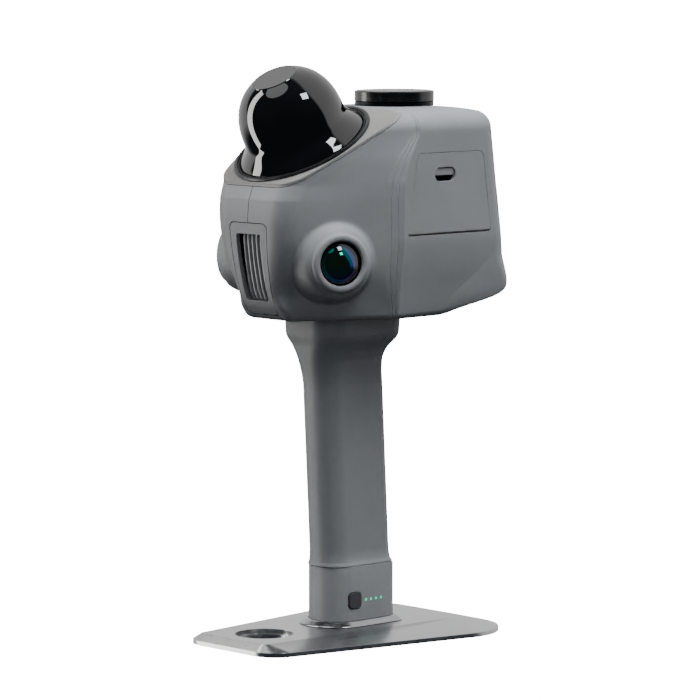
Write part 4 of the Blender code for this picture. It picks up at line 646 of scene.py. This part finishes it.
def head_ribs(inset=0.0, step=1.1):
    """Outlines of the head from bottom to top, all moved in by inset."""
    ribs = []

    def rib(z, shift, height):
        ribs.append((moved_in(head_points(z), inset + shift), height))

    for n in range(6):
        angle = math.radians(15 * n)
        z = HEAD_LOW + BOTTOM_ROLL * math.sin(angle) if n else HEAD_LOW
        shift = BOTTOM_ROLL * (1 - math.sin(math.acos(1 - (z - HEAD_LOW) / BOTTOM_ROLL)))
        rib(z, shift, HEAD_LOW + inset + (z - HEAD_LOW))
    shoulder = HEAD_HIGH - CROWN - TOP_ROLL
    z = HEAD_LOW + BOTTOM_ROLL + step
    while z < shoulder - step / 2:
        rib(z, 0.0, z + inset * (1 - 2 * (z - HEAD_LOW) / (HEAD_HIGH - HEAD_LOW)))
        z += min(step, 0.55) if CHAMFER[0] < z < CHAMFER[1] and inset == 0 else step
    for n in range(12):
        angle = math.radians(7.5 * n)
        rib(shoulder, TOP_ROLL * (1 - math.cos(angle)), shoulder - inset + TOP_ROLL * math.sin(angle))
    flat, lip = ribs[-1]
    middle = np.array((0.0, 35.8))
    for share in (0.93, 0.86, 0.78, 0.70, 0.60, 0.50, 0.30, 0.12):
        rise = min(1.0, 1 - ((share - 0.5) / 0.5) ** 2) if share > 0.5 else 1.0
        top = HEAD_HIGH - inset
        ribs.append((middle + (flat - middle) * share, lip + (top - lip) * rise - share / 1000))
    return ribs


head_form = skin(head_ribs(), "head_form")
print("head form:", len(head_form.data.polygons), "faces")

# %% [markdown]
# ## Casings
# Two moulded halves meet in a seam down the middle, 0.4 mm wide. They are the form with a smaller
# copy taken out of it, so that the wall is 2.4 mm, and with every opening cut in one pass: over the
# deck, for the vent, the cameras, the card door, the screen, the cap and the neck. A thin slab down
# the middle makes the seam, and then the two halves are loose from each other and are separated.

# %% Cutters of the openings
def vent_outline(margin):
    return rounded([
        (-10.3 - margin, 158.2 - margin, 3.0, 6, 1), (10.3 + margin, 158.2 - margin, 3.0, 6, 1),
        (13.0 + margin, 201.5 + margin, 3.0, 6, 1), (-13.0 - margin, 201.5 + margin, 3.0, 6, 1),
    ])


DOOR_GAP, DOOR_FACE, DOOR_THICK, DOOR_BEAD = 0.22, 46.0, 2.2, 1.6
HINGE_HEIGHT = 196.5


def door_outline(margin, low=HINGE_HEIGHT):
    return rounded([
        (1.6 - margin, low - margin, 1.0, 3, 1), (56.0 + margin, low - margin, 1.0, 3, 1),
        (50.6 + margin, 233.4 + margin, 3.0 + margin, 8, 1),
        (8.0 - margin, 233.4 + margin, 3.0 + margin, 8, 1),
    ])


def screen_outline(margin):
    return rounded(box_corners(32.0 + margin, -23.0 - margin, 23.0 + margin, max(3.0 + margin, 1.0)))


HINGE = at(DOOR_FACE - DOOR_BEAD, 0, HINGE_HEIGHT) @ Matrix.Rotation(-math.pi / 2, 4, "X")
WIDE = 300.0
cutters = [
    skin(head_ribs(2.4, 2.4), "cavity"),
    block((-WIDE, -WIDE, -1.5), (WIDE, WIDE, WIDE), LIDAR),
    plate(vent_outline(0.4), 29.0, 90.0, TO_FRONT),
    plate(screen_outline(2.3), -15.0, 30.0, SCREEN),
    plate(door_outline(DOOR_GAP, HINGE_HEIGHT - DOOR_BEAD), 41.0, 60.0, TO_SIDE),
    plate(rounded(box_corners(13.8, -19.8, 19.8, 8.0)), 140.0, 157.9, at(0, 1.0, 0)),
    rod(19.2, 252.3, 280.0, CAP),
    rod(12.3, 235.0, 280.0, CAP),
    rod(1.0, -0.3, 57.9, HINGE, 24),
    block((-0.2, -WIDE, 0), (0.2, WIDE, WIDE)),
]
for side in (-1, 1):
    cutters.append(rod(12.2, -15.0, 15.0, CAMERA[side]))
    for y in (-13.0, 16.95):
        cutters.append(rod(2.9, 140.0, 156.8, at(side * 18.0, y, 0), 24))
print("cutters:", len(cutters))

# %% Cut the casings and take them apart
shell = carve(twin(head_form, "casing"), cutters)
alone(shell)
bpy.ops.mesh.separate(type="LOOSE")
halves = sorted(bpy.context.selected_objects, key=lambda o: -len(o.data.polygons))
print("loose pieces:", [len(o.data.polygons) for o in halves])
for scrap in halves[2:]:
    bpy.data.objects.remove(scrap, do_unlink=True)
halves = sorted(halves[:2], key=lambda o: sum(v.co.x for v in o.data.vertices))
for half, name, node in zip(halves, ("left_casing", "right_casing"), ("left_shell", "right_shell")):
    settle(half, name)
    smooth(half, 28)
    hand_over(half, moulded_grey, "casing", node)

# %% [markdown]
# ## The deck
# A sloping cover plate closes the head in front of the cap and carries the lidar. Its edge follows
# the head's form exactly, so it is that form with all but a 1.2 mm layer bisected away, and the
# rim of its top face is bevelled a little to catch the light. The lidar's bore is cut last.

# %% Bisect the form into the deck
def bisected(thing, place, height, clear_above):
    """Cuts a closed form flat at a height of a frame, and closes the cut."""
    normal = place.to_3x3() @ Vector((0, 0, 1))
    with shaping(thing):
        bpy.ops.mesh.select_all(action="SELECT")
        bpy.ops.mesh.bisect(
            plane_co=place @ Vector((0, 0, height * MM)), plane_no=normal, use_fill=True,
            clear_outer=clear_above, clear_inner=not clear_above, threshold=1e-7,
        )


deck = twin(head_form, "sloping_deck")
bisected(deck, LIDAR, 0.0, True)
bisected(deck, LIDAR, -1.2, False)
into_deck = LIDAR.inverted()
with shaping(deck, "EDGE"):
    rim = pick(deck, "edges", lambda e: all(abs((into_deck @ v.co).z) < 2e-6 for v in e.verts))
    bpy.ops.mesh.bevel(offset=0.35 * MM, segments=2, affect="EDGES", clamp_overlap=True)
print("deck rim edges:", rim)
carve(deck, [rod(31.6, -5.0, 5.0, LIDAR, 96)])
settle(deck, "sloping_deck")
smooth(deck)
hand_over(deck, deck_paint, "deck", "top_deck")

# %% [markdown]
# ## The lidar dome
# The dome is a bulb with a flat top on a flared foot, like an upturned bowler hat. It is a body of
# revolution, so a profile is spun: the bulb follows a curve a little fuller than an ellipse, and
# the flare sweeps out hollow. A black gasket and a dark bezel lie round its foot.

# %% Profile of the dome
FLARE = (
    (25.25, 10.5), (25.3, 9.8), (25.42, 9.0), (25.68, 8.2), (26.02, 7.45), (26.4, 6.75), (26.86, 6.0),
    (27.42, 5.25), (28.02, 4.5), (28.64, 3.75), (29.3, 3.0), (29.95, 2.25), (30.5, 1.55), (30.85, 1.0),
)


def dome_side(shrink, steps=36):
    """Points from the flat top down over the bulb and the flare, moved in by shrink."""
    points = []
    for n in range(steps + 1):
        rise = 25.15 * (1 - n / steps) ** 0.8
        radius = 25.2 * (1 - (rise / 27.3) ** 2.25) ** (1 / 2.25)
        points.append((radius - shrink, 11.0 + rise - shrink * rise / 25.0))
    return points + [(x - shrink, y - shrink / 2) for x, y in FLARE]


outer, inner = dome_side(0.0), dome_side(1.8)
profile = [(0, 36.5), (6.0, 36.5), (11.0, 36.5), (11.2, 36.45), (11.3, 36.32)] + outer
profile += [(31.0, 0.5), (30.8, 0.3), (27.4, 0.3)] + [p for p in reversed(inner) if p[1] > 1.2] + [(0, 34.4)]
dome = turned(profile, LIDAR, "lidar_cover", 160, 14)
hand_over(dome, dome_acrylic, "gloss_black", "lidar_dome")

# %% Gasket and bezel
gasket = turned([
    (31.3, 0.3), (31.3, 0.55), (31.6, 0.75), (32.1, 0.75), (32.5, 0.5), (32.5, 0.3),
], LIDAR, "dome_gasket", 128)
hand_over(gasket, matt_rubber, "black_rubber", "lidar_gasket")
bezel = turned([
    (32.8, 0.3), (32.8, 0.8), (33.1, 1.05), (33.9, 1.05), (34.4, 0.6), (34.4, 0.3),
], LIDAR, "dome_bezel", 128)
hand_over(bezel, dark_anodised, "dark_metal", "lidar_bezel")

# %% [markdown]
# ## The cap
# A satin black cap with a chamfered rim sits on the head behind the dome, over a darker base ring,
# with a fine parting line between them. Both are turned profiles.

# %% Cap and its base
cap = turned([
    (0, 261.2), (14.0, 261.2), (18.3, 261.16), (18.9, 261.0), (19.2, 260.6), (19.2, 256.3), (19.0, 256.1),
    (5.0, 256.1), (5.0, 252.9), (0, 252.9),
], CAP, "screw_cap")
hand_over(cap, satin_abs, "gloss_black", "top_cap")
cap_base = turned([
    (5.3, 255.9), (19.0, 255.9), (19.1, 255.8), (19.1, 254.2), (18.8, 254.0), (18.8, 252.6), (12.0, 252.6),
    (12.0, 248.6), (5.3, 248.6),
], CAP, "cap_ring")
hand_over(cap_base, black_anodised, "dark_metal", "cap_base")

# %% [markdown]
# ## The chin vent
# The vent's panel lies flush in the front: it is the part of the head's form inside the vent's
# outline, 2.2 mm thick, with a tall slot. Behind the slot stand the fins of the heat sink. One fin
# is modelled with a rounded front edge and copied at its pitch of 2.9 mm, each with its own mesh.

# %% Vent panel
def grille_outline(margin):
    return rounded([
        (-7.8 - margin, 164.6 - margin, 1.6, 6, 1), (7.8 + margin, 164.6 - margin, 1.6, 6, 1),
        (8.9 + margin, 196.5 + margin, 1.6, 6, 1), (-8.9 - margin, 196.5 + margin, 1.6, 6, 1),
    ])


vent = carve(twin(head_form, "chin_vent"), [plate(vent_outline(0.0), 29.0, 90.0, TO_FRONT)], "INTERSECT")
carve(vent, [skin(head_ribs(2.2, 2.4), "vent_back"), plate(grille_outline(0.0), 20.0, 90.0, TO_FRONT)])
settle(vent, "chin_vent")
smooth(vent, 28)
hand_over(vent, moulded_grey, "casing", "vent_frame")

# %% Fins of the heat sink
fin = plate(
    [(y, z) for z, y in ((163.6, -43.6), (163.6, -47.0), (165.4, -50.0), (170.5, -52.0), (176.9, -53.4),
                         (184.8, -54.8), (194.0, -55.8), (197.5, -55.6), (197.5, -43.6))],
    -0.5, 0.5, TO_SIDE, "fin",
)
soften(fin, 0.35, 3)
fins = [fin]
for n in (-2, -1, 1, 2):
    copy = twin(fin, f"fin_{n}")
    copy.data.transform(at(n * 2.9, 0, 0))
    fins.append(copy)
back = block((-11.1, -43.7, 163.0), (11.1, -40.0, 198.1), UPRIGHT, "sink_back")
cheeks = [block((side * 8.2 if side > 0 else -11.1, -49.0, 163.0), (11.1 if side > 0 else -8.2, -43.0, 198.1))
          for side in (-1, 1)]
alone(back)
for part in fins + cheeks:
    part.select_set(True)
bpy.ops.object.join()
settle(back, "cooling_fins")
hand_over(back, fin_metal, "fins", "heat_sink")

# %% [markdown]
# ## The side cameras
# Each camera looks out of a round boss that grows softly out of the wall. The boss is a turned disc
# whose rim is pulled onto the wall: a shrinkwrap modifier projects it along the lens axis, and a
# vertex group says how much, from nothing on the flat face to all at the rim. That keeps perfect
# circles near the lens and still meets the curved wall without a step.

# %% One boss, wrapped onto the wall
BOSS_LIFT = 0.6
BOSS_FORM = (
    # radius, height over the wall, share pulled onto the wall
    (10.45, 6.4, 0), (10.6, 6.85, 0), (10.9, 7.2, 0), (11.3, 7.35, 0), (12.0, 7.4, 0), (12.7, 7.35, 0),
    (13.2, 7.15, 0), (13.6, 6.75, 0), (13.85, 6.2, 0), (14.05, 5.6, 0), (14.3, 5.15, 0), (14.7, 4.85, 0),
    (15.2, 4.55, 0), (15.7, 4.2, 0), (16.2, 3.75, 0.01), (16.7, 3.2, 0.04), (17.2, 2.65, 0.1), (17.7, 2.1, 0.2),
    (18.2, 1.6, 0.34), (18.7, 1.2, 0.5), (19.2, 0.95, 0.66), (19.7, 0.8, 0.8), (20.2, 0.7, 0.92), (20.8, 0.6, 1),
)


def boss(side, name):
    place = CAMERA[side] @ at(0, BOSS_LIFT, 0)
    bpy.ops.mesh.primitive_circle_add(vertices=len(BOSS_FORM), radius=1.0, location=(0, 0, 0))
    thing = bpy.context.object
    for vertex, (radius, height, _) in zip(thing.data.vertices, BOSS_FORM):
        vertex.co = (radius * MM, 0, height * MM)
    with shaping(thing, "EDGE"):
        pick(thing, "edges", lambda e: abs(e.verts[0].co.x - e.verts[1].co.x) > 4 * MM)
        bpy.ops.mesh.delete(type="EDGE")
        bpy.ops.mesh.select_all(action="SELECT")
        bpy.ops.mesh.spin(steps=96, angle=math.tau, center=(0, 0, 0), axis=(0, 0, 1))
    clean(thing)
    pull = thing.vertex_groups.new(name="pull")
    radii, _, shares = zip(*BOSS_FORM)
    for vertex in thing.data.vertices:
        radius = math.hypot(vertex.co.x, vertex.co.y) / MM
        pull.add([vertex.index], float(np.interp(radius, radii, shares)), "REPLACE")
    thing.matrix_world = place
    wrap = thing.modifiers.new("wrap", "SHRINKWRAP")
    wrap.target = head_form
    wrap.wrap_method = "PROJECT"
    wrap.use_project_z = True
    wrap.use_negative_direction = True
    wrap.use_positive_direction = True
    wrap.vertex_group = "pull"
    alone(thing)
    bpy.ops.object.modifier_apply(modifier=wrap.name)
    with shaping(thing, "EDGE"):
        pick(thing, "edges", lambda e: e.is_boundary and all(
            math.hypot(v.co.x, v.co.y) < 11 * MM for v in e.verts))
        inward = {"value": (0, 0, -8 * MM), "orient_type": "LOCAL"}
        bpy.ops.mesh.extrude_region_move(TRANSFORM_OT_translate=inward)
        bpy.ops.mesh.select_all(action="SELECT")
        bpy.ops.mesh.normals_make_consistent(inside=False)
    thick = thing.modifiers.new("thick", "SOLIDIFY")
    thick.thickness = 0.9 * MM
    thick.offset = -1.0
    bpy.ops.object.modifier_apply(modifier=thick.name)
    settle(thing, name)
    smooth(thing, 40)
    return thing


for side, label in ((-1, "left"), (1, "right")):
    hand_over(boss(side, f"{label}_camera_boss"), moulded_grey, "casing", f"{label}_camera_ring")

# %% [markdown]
# Inside the boss sits the strongly curved front glass of a fisheye lens, in a black ring.

# %% Lenses
LENS_RIM, LENS_CURVE = 5.8, 15.0
for side, label in ((-1, "left"), (1, "right")):
    place = CAMERA[side] @ at(0, BOSS_LIFT, 0)
    slopes_down = [math.asin(10.0 / LENS_CURVE) * n / 16 for n in range(17)]
    crown = LENS_RIM + LENS_CURVE * (1 - math.cos(slopes_down[-1]))
    bulge = [(LENS_CURVE * math.sin(a), crown - LENS_CURVE * (1 - math.cos(a))) for a in slopes_down]
    front = turned(bulge + [(10.2, LENS_RIM - 0.2), (10.2, 2.2), (0, 2.2)], place, f"{label}_front_lens")
    deep_centre = place @ Vector((0, 0, (crown - 9.5) * MM))
    hand_over(front, coated_lens(f"{label}_coated_lens", deep_centre), "lens_glass", f"{label}_lens")
    wall = [(10.4, 2.2), (10.4, 6.1), (10.25, 6.2), (10.22, 6.0), (10.22, 2.2)]
    barrel = turned(wall, place, f"{label}_lens_ring")
    hand_over(barrel, gloss_abs, "dark_metal", body="scanner")

# %% [markdown]
# ## The card door
# The door is a plate 2.2 mm thick with softly broken edges, hinged along its lower edge. There a
# bead turns in the opening, and a small toe on it narrows the gap at the surface. Near
# its top a pill-shaped slot is cut through it, and in the slot sits the latch that a nail slides down.

# %% Door, bead and latch slot
def latch_outline(margin, low, high):
    radius = (high - low) / 2 * 0.96 + margin
    half = 6.7 + margin
    return [(p[0] + 25.8, p[1]) for p in rounded(box_corners(half, low - margin, high + margin, radius, 8))]


door = plate(door_outline(0.0), DOOR_FACE - DOOR_THICK, DOOR_FACE, TO_SIDE, "card_door")
slot = plate(latch_outline(0.0, 219.8, 226.4), 40.0, 50.0, TO_SIDE)
carve(door, [slot])
soften(door, 0.2, 2)
bead = soften(rod(DOOR_BEAD, 2.6, 55.0, HINGE, 32), 0.2)
carve(bead, [rod(1.0, -10.0, 70.0, HINGE, 24)])
toe = soften(block((44.6, 1.75, 195.6), (45.99, 55.85, 197.4)), 0.15)
alone(door)
for part in (bead, toe):
    part.select_set(True)
bpy.ops.object.join()
settle(door, "card_door")
hand_over(door, moulded_grey, "casing", "storage_door")

# %% Latch
latch = plate(latch_outline(-0.35, 222.15, 226.4), 42.75, 45.3, TO_SIDE, "door_slide")
soften(latch, 0.4, 3)
nose = soften(block((42.1, 21.3, 222.5), (43.3, 30.3, 233.0)), 0.2)
alone(latch)
nose.select_set(True)
bpy.ops.object.join()
settle(latch, "door_slide")
hand_over(latch, moulded_grey, "casing", "door_latch")

# %% [markdown]
# ## The rear screen
# Nothing of it shows in the photograph. It is a flat glass in a slim gloss frame, a little proud of
# the rear wall, as such scanners have.

# %% Screen frame and glass
rim_plate = plate(screen_outline(2.0), -2.4, 0.6, SCREEN, "screen_bezel")
soften(rim_plate, 0.5, 3)
carve(rim_plate, [
    plate(screen_outline(0.2), -1.1, 5.0, SCREEN), plate(screen_outline(-2.0), -5.0, 5.0, SCREEN),
])
smooth(rim_plate)
hand_over(rim_plate, gloss_abs, "gloss_black", "screen_frame")
glass = soften(plate(screen_outline(0.0), -0.8, 0.6, SCREEN, "screen_cover"), 0.25, 3)
hand_over(glass, screen_gloss, "screen_glass", "screen_glass")

# %% [markdown]
# ## The grip
# The grip leans forward by three degrees. Its section has a round nose in front and tight corners
# behind. It flares into a collar under the head, and low down it steps out to the foot. As with the
# head, a table of sections is blended and averaged, and a grid is laid on them.

# %% Sections of the grip
GRIP_LOW, GRIP_HIGH = 34.9, 154.8
GRIP_LEVELS = (
    # share of height, wider, deeper, shift (all shares of 23 mm), nose share, heel share
    (0.000, 0.130, 0.055, 0.000, 1.09, 1.0), (0.005, 0.120, 0.050, 0.000, 1.09, 1.0),
    (0.014, 0.060, 0.025, 0.000, 1.05, 1.0), (0.030, 0.018, 0.008, 0.000, 1.00, 1.0),
    (0.051, 0.000, 0.000, 0.000, 1.00, 1.0), (0.730, 0.000, 0.000, 0.000, 1.00, 1.0),
    (0.778, 0.030, 0.010, 0.020, 1.00, 1.1), (0.830, 0.100, 0.080, 0.030, 1.00, 1.3),
    (0.866, 0.240, 0.200, 0.000, 1.03, 1.6), (0.892, 0.420, 0.340, -0.055, 1.08, 1.9),
    (0.907, 0.550, 0.450, -0.080, 1.10, 2.1), (0.929, 0.630, 0.520, -0.080, 1.13, 2.2),
    (1.000, 0.670, 0.550, -0.105, 1.15, 2.3),
)


def grip_level(share):
    share = min(max(share, 0.0), 1.0)
    for low, high in zip(GRIP_LEVELS, GRIP_LEVELS[1:]):
        if share <= high[0]:
            break
    blend = (share - low[0]) / (high[0] - low[0])
    return [a + (b - a) * blend for a, b in zip(low, high)]


def handle_points(width, depth, behind, nose, heel):
    half = width / 2
    return rounded(mirrored([
        (half, behind - depth / 2, min(nose, half - 0.6), 14, 18), (half, behind + depth / 2, heel, 8, 10),
    ]))


def grip_points(z):
    reach = 0.4 if z < GRIP_LOW + 3 else 1.5
    total, weights = [0.0] * 6, 0.0
    for n in range(-4, 5):
        weight = 5 - abs(n)
        row = grip_level((z + reach * n / 4 - GRIP_LOW) / (GRIP_HIGH - GRIP_LOW))
        total = [t + weight * v for t, v in zip(total, row)]
        weights += weight
    _, wider, deeper, shift, nose, heel = [t / weights for t in total]
    behind = 4.6 - (z - GRIP_LOW) * math.tan(math.radians(2.94)) - shift * 23.0
    return handle_points(23.0 * (1 + wider), 38.5 + 23.0 * deeper, behind, 10.5 * nose, 3.5 * heel)


# %% Lay the grip's skin
ribs = []
z = GRIP_LOW
while z < GRIP_HIGH:
    ribs.append((grip_points(z), z))
    z += 0.35 if z < 42.0 else 1.0
ribs.append((grip_points(GRIP_HIGH), GRIP_HIGH))
grip = skin(ribs, "battery_grip")
smooth(grip, 28)
hand_over(grip, moulded_grey, "casing", "grip_shell")

# %% [markdown]
# ## The foot
# The foot is a straight sleeve round the lower end of the grip. In its right side are the charge
# button and four small lights, and a bright ring lies round it on the plate.

# %% Foot sleeve with its holes
def foot_points(margin):
    return handle_points(26.0 + 2 * margin, 39.8 + 2 * margin, 5.1, 11.5 + margin, 3.5 + margin)


def button_outline(margin):
    half = 3.9 + margin
    return [(p[0] - 1.9, p[1] + 18.2) for p in rounded(box_corners(half, -half, half, 2.1 + margin))]


sleeve = plate(foot_points(0.0), 6.4, 34.6, UPRIGHT, "grip_foot")
with shaping(sleeve, "EDGE"):
    pick(sleeve, "edges", lambda e: all(v.co.z > 34 * MM for v in e.verts))
    bpy.ops.mesh.bevel(offset=0.3 * MM, segments=3, affect="EDGES")
holes = [plate(button_outline(0.35), 11.5, 20.0, TO_SIDE)]
lights = [(5.5 + 3.25 * n, 17.9) for n in range(4)]
for y, z in lights:
    holes.append(rod(0.85, 11.5, 20.0, at(0, y, z) @ TO_SIDE, 24))
carve(sleeve, holes)
settle(sleeve, "grip_foot")
smooth(sleeve)
hand_over(sleeve, moulded_grey, "casing", "foot_shell")

# %% Button and lights
button = soften(plate(button_outline(0.0), 9.9, 13.5, TO_SIDE, "push_button"), 0.45, 4)
hand_over(button, soft_button, "button", "charge_button")
for n, (y, z) in enumerate(lights):
    lens = turned(
        [(0, 13.12), (0.35, 13.08), (0.6, 12.98), (0.7, 12.8), (0.7, 7.6), (0, 7.6)], at(0, y, z) @ TO_SIDE,
        f"charge_light_{n + 1}", 24,
    )
    hand_over(lens, charge_light, "light", f"charge_led_{n + 1}")

# %% Ring round the foot
def ring_ribs():
    return [
        (foot_points(4.4), 6.3), (foot_points(4.3), 6.5), (foot_points(3.6), 7.0), (foot_points(2.6), 7.8),
        (foot_points(1.9), 8.4), (foot_points(1.4), 8.7),
    ]


ring = skin(ring_ribs(), "foot_collar")
carve(ring, [plate(foot_points(0.3), 0.0, 20.0)])
settle(ring, "foot_collar")
smooth(ring, 40)
hand_over(ring, polished_ring, "aluminium", "foot_ring")

# %% [markdown]
# ## The bench plate
# A plate of 5.6 mm aluminium, wide behind and narrow in front, milled with a flat top and sloping
# flanks, with a stepped round hole in front for sighting a survey point. It is laid up in three
# outlines and the edges between its faces are broken by a small bevel.

# %% Plate with its stepped hole
def trapezium(front, front_half, back, back_half, front_radius, back_radius, inset=0.0):
    return rounded(mirrored([
        (front_half - inset, front + inset, front_radius - inset / 2, 12, 1),
        (back_half - inset, back - inset, back_radius - inset / 2, 16, 1),
    ]))


def plate_edge(inset=0.0):
    return trapezium(-72.0, 30.6, 72.0, 58.6, 13.0, 28.0, inset)


SURVEY_HOLE, SCREW_HOLE = at(0, -48.6, 0), at(0, 5.1, 0)
flat_top = trapezium(-68.7, 23.4, 58.1, 28.0, 2.5, 10.0)
bench = skin([(plate_edge(), 0.4), (plate_edge(), 2.5), (flat_top, 6.0)], "bench_plate")
carve(bench, [
    rod(11.95, -5.0, 20.0, SURVEY_HOLE, 96), rod(13.85, 3.6, 20.0, SURVEY_HOLE, 96),
    plate(plate_edge(5.7), -5.0, 1.5), rod(9.3, -5.0, 3.2, SCREW_HOLE),
    rod(3.4, -5.0, 20.0, SCREW_HOLE, 32),
])
soften(bench, 0.18, 2, 12)
settle(bench, "bench_plate")
hand_over(bench, brushed_plate, "aluminium", "base_plate")

# %% Rubber pad under it
pad = plate(plate_edge(6.0), 0.0, 1.2, UPRIGHT, "anti_slip_pad")
carve(pad, [rod(14.95, -5.0, 5.0, SURVEY_HOLE), rod(10.5, -5.0, 5.0, SCREW_HOLE)])
soften(pad, 0.2, 2)
hand_over(pad, matt_rubber, "black_rubber", "base_pad")

# %% [markdown]
# ## Pieces that stay as the CAD model has them
# What is inside needs no finer shape, only its real finish.

# %% Finishes of the kept nodes
boards = speckle("green_solder_mask", "#0d4a2c", "#12613a", 1.6, 0.35, 0.05)
cells = speckle("blue_shrink_sleeve", "#1b3f8c", "#2450a6", 3.0, 0.30, 0.03)
KEPT = {
    matt_rubber: ("port_tray",),
    dark_anodised: ("left_camera_module", "right_camera_module", "screen_panel"),
    satin_metal: ("lidar_base", "chassis", "processor_cooler", "foot_block"),
    steel: ("lidar_motor", "door_hinge_pin", "usb_port", "card_slot", "base_screw",
            *(f"head_screw_{n}" for n in range(1, 5))),
    front_mirror: ("lidar_rotor",),
    boards: ("main_board", "charge_board"),
    cells: ("battery_pack",),
}
for finish, names in KEPT.items():
    for name in names:
        node = frame["nodes"][name]
        node.data.materials.clear()
        node.data.materials.append(finish)
hidden = {name for piece in made for name in piece.get("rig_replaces", [])}
kept = {name for names in KEPT.values() for name in names}
print("nodes without a finish:", sorted(set(frame["nodes"]) - hidden - kept))
bpy.data.objects.remove(head_form, do_unlink=True)

# %% [markdown]
# ## Floor, light and camera
# The photograph was lit as products often are: a white backdrop behind, a large soft lamp overhead
# on the right, a softer one overhead in front, a tall one on the left, a weak fill near the camera,
# and two small lamps that show in the gloss parts. The faces that look at the camera are the
# darkest. The world is that room: white where a ray leaves away from the camera's usual place, dark
# where it comes back, high on the left, and below. The camera itself sees plain white, and the
# floor is pale and lights nothing from below.

# %% Floor and world
VIEW_TURN, VIEW_RISE, VIEW_DISTANCE = math.radians(47.25), math.radians(5.92), 2.01101
BACKDROP_EDGE, FLOOR_EDGE = (0.04, 0.15), (-0.40, -0.12)  # where the backdrop fades out, as shares of a ray
SHADE_HIGH_LEFT = 0.6
DARK_SIDE, WHITE = (0.030, 0.038, 0.048, 1), (1, 1, 1, 1)
bpy.ops.mesh.primitive_plane_add(size=30.0, location=(0, 0, -0.0002))
floor = bpy.context.object
floor.name = "floor"
floor_paint, _, floor_shader = material("pale_floor", Roughness=0.9, Emission_Strength=17.0)
floor_shader.inputs["Base Color"].default_value = rgb("#f6f6f6")
floor_shader.inputs["Emission Color"].default_value = WHITE
floor.data.materials.append(floor_paint)
floor.visible_diffuse = False
floor.visible_glossy = False

world = bpy.data.worlds.new("studio")
bpy.context.scene.world = world
world.use_nodes = True
sky = world.node_tree
ray = add(sky, "ShaderNodeTexCoord", {}).outputs["Generated"]
ROOM_TURN = VIEW_TURN - math.radians(15.0)
away = (-math.sin(ROOM_TURN), math.cos(ROOM_TURN), 0.0)
behind = add(sky, "ShaderNodeVectorMath", {0: ray, 1: away}, operation="DOT_PRODUCT").outputs["Value"]
apart = add(sky, "ShaderNodeSeparateXYZ", {"Vector": ray})
above = apart.outputs["Z"]
high_left = add(sky, "ShaderNodeMath", {0: apart.outputs["X"], 1: above}, operation="MULTIPLY")
behind = add(sky, "ShaderNodeMath", {
    0: high_left.outputs["Value"], 1: SHADE_HIGH_LEFT, 2: behind,
}, operation="MULTIPLY_ADD").outputs["Value"]


def fade(value, low, high):
    """0 below low, 1 above high, smooth between."""
    return add(sky, "ShaderNodeMapRange", {"Value": value, "From Min": low, "From Max": high},
               interpolation_type="SMOOTHSTEP").outputs["Result"]


lit = add(sky, "ShaderNodeMath", {0: fade(behind, *BACKDROP_EDGE), 1: fade(above, *FLOOR_EDGE)},
          operation="MULTIPLY").outputs["Value"]
room = sky.nodes["Background"]
sky.links.new(ramp(sky, lit, [(0.0, DARK_SIDE), (1.0, WHITE)]), room.inputs["Color"])
room.inputs["Strength"].default_value = 1.0
white = add(sky, "ShaderNodeBackground", {"Color": WHITE, "Strength": 16.0})
seen = add(sky, "ShaderNodeMixShader", {
    "Fac": add(sky, "ShaderNodeLightPath", {}).outputs["Is Camera Ray"],
    1: room.outputs[0], 2: white.outputs[0],
})
sky.links.new(seen.outputs[0], sky.nodes["World Output"].inputs["Surface"])


# %% Lights
def bearing(turn, rise):
    """Unit vector at angles from the front towards the right, and up."""
    return Vector((math.sin(turn) * math.cos(rise), -math.cos(turn) * math.cos(rise), math.sin(rise)))


def facing(middle, direction, distance):
    """The place of a lamp or camera that looks at a middle from a direction."""
    turned_there = direction.to_track_quat("Z", "Y").to_matrix().to_4x4()
    return Matrix.Translation(middle + direction * distance) @ turned_there


def softbox(
    name, azimuth, elevation, distance, size, power, colour="#ffffff", mirrors=True, shape="RECTANGLE"
):
    """A lamp that faces the scanner's middle. One without mirrors lights matt faces only, as a lamp
    behind a large diffuser would."""
    data = bpy.data.lights.new(name, "AREA")
    data.shape = shape
    data.size = size[0]
    if shape == "RECTANGLE":
        data.size_y = size[1]
    data.energy = power
    data.color = rgb(colour)[:3]
    lamp_object = bpy.data.objects.new(name, data)
    bpy.context.scene.collection.objects.link(lamp_object)
    lamp_object.visible_glossy = mirrors
    direction = bearing(math.radians(azimuth), math.radians(elevation))
    lamp_object.matrix_world = facing(Vector((0, 0, 0.16)), direction, distance)


softbox("over_light", 105.0, 73.0, 1.3, (0.8, 0.8), 44.0, "#f8fbff", mirrors=False)
softbox("key_light", 87.0, 50.0, 1.3, (0.3, 0.3), 5.0, "#f6faff")
softbox("fill_light", 47.0, 12.0, 1.6, (0.8, 0.8), 5.5, mirrors=False)
softbox("top_light", -25.0, 60.0, 1.2, (1.1, 1.1), 9.5, mirrors=False)
softbox("round_light", -17.0, 62.0, 1.2, (0.75, 0.75), 2.0, shape="DISK")
softbox("left_light", -52.0, 5.0, 1.4, (0.4, 2.4), 24.0, "#fffdf9")

# %% Camera
target = Vector((0, 0.0068, 0.13732))
camera_data = bpy.data.cameras.new("camera")
camera_data.lens = 215.47
camera_data.sensor_width = 36.0
camera = bpy.data.objects.new("camera", camera_data)
bpy.context.scene.collection.objects.link(camera)
camera.matrix_world = facing(target, bearing(VIEW_TURN, VIEW_RISE), VIEW_DISTANCE)
bpy.context.scene.camera = camera

# %% The end
bpy.context.view_layer.update()
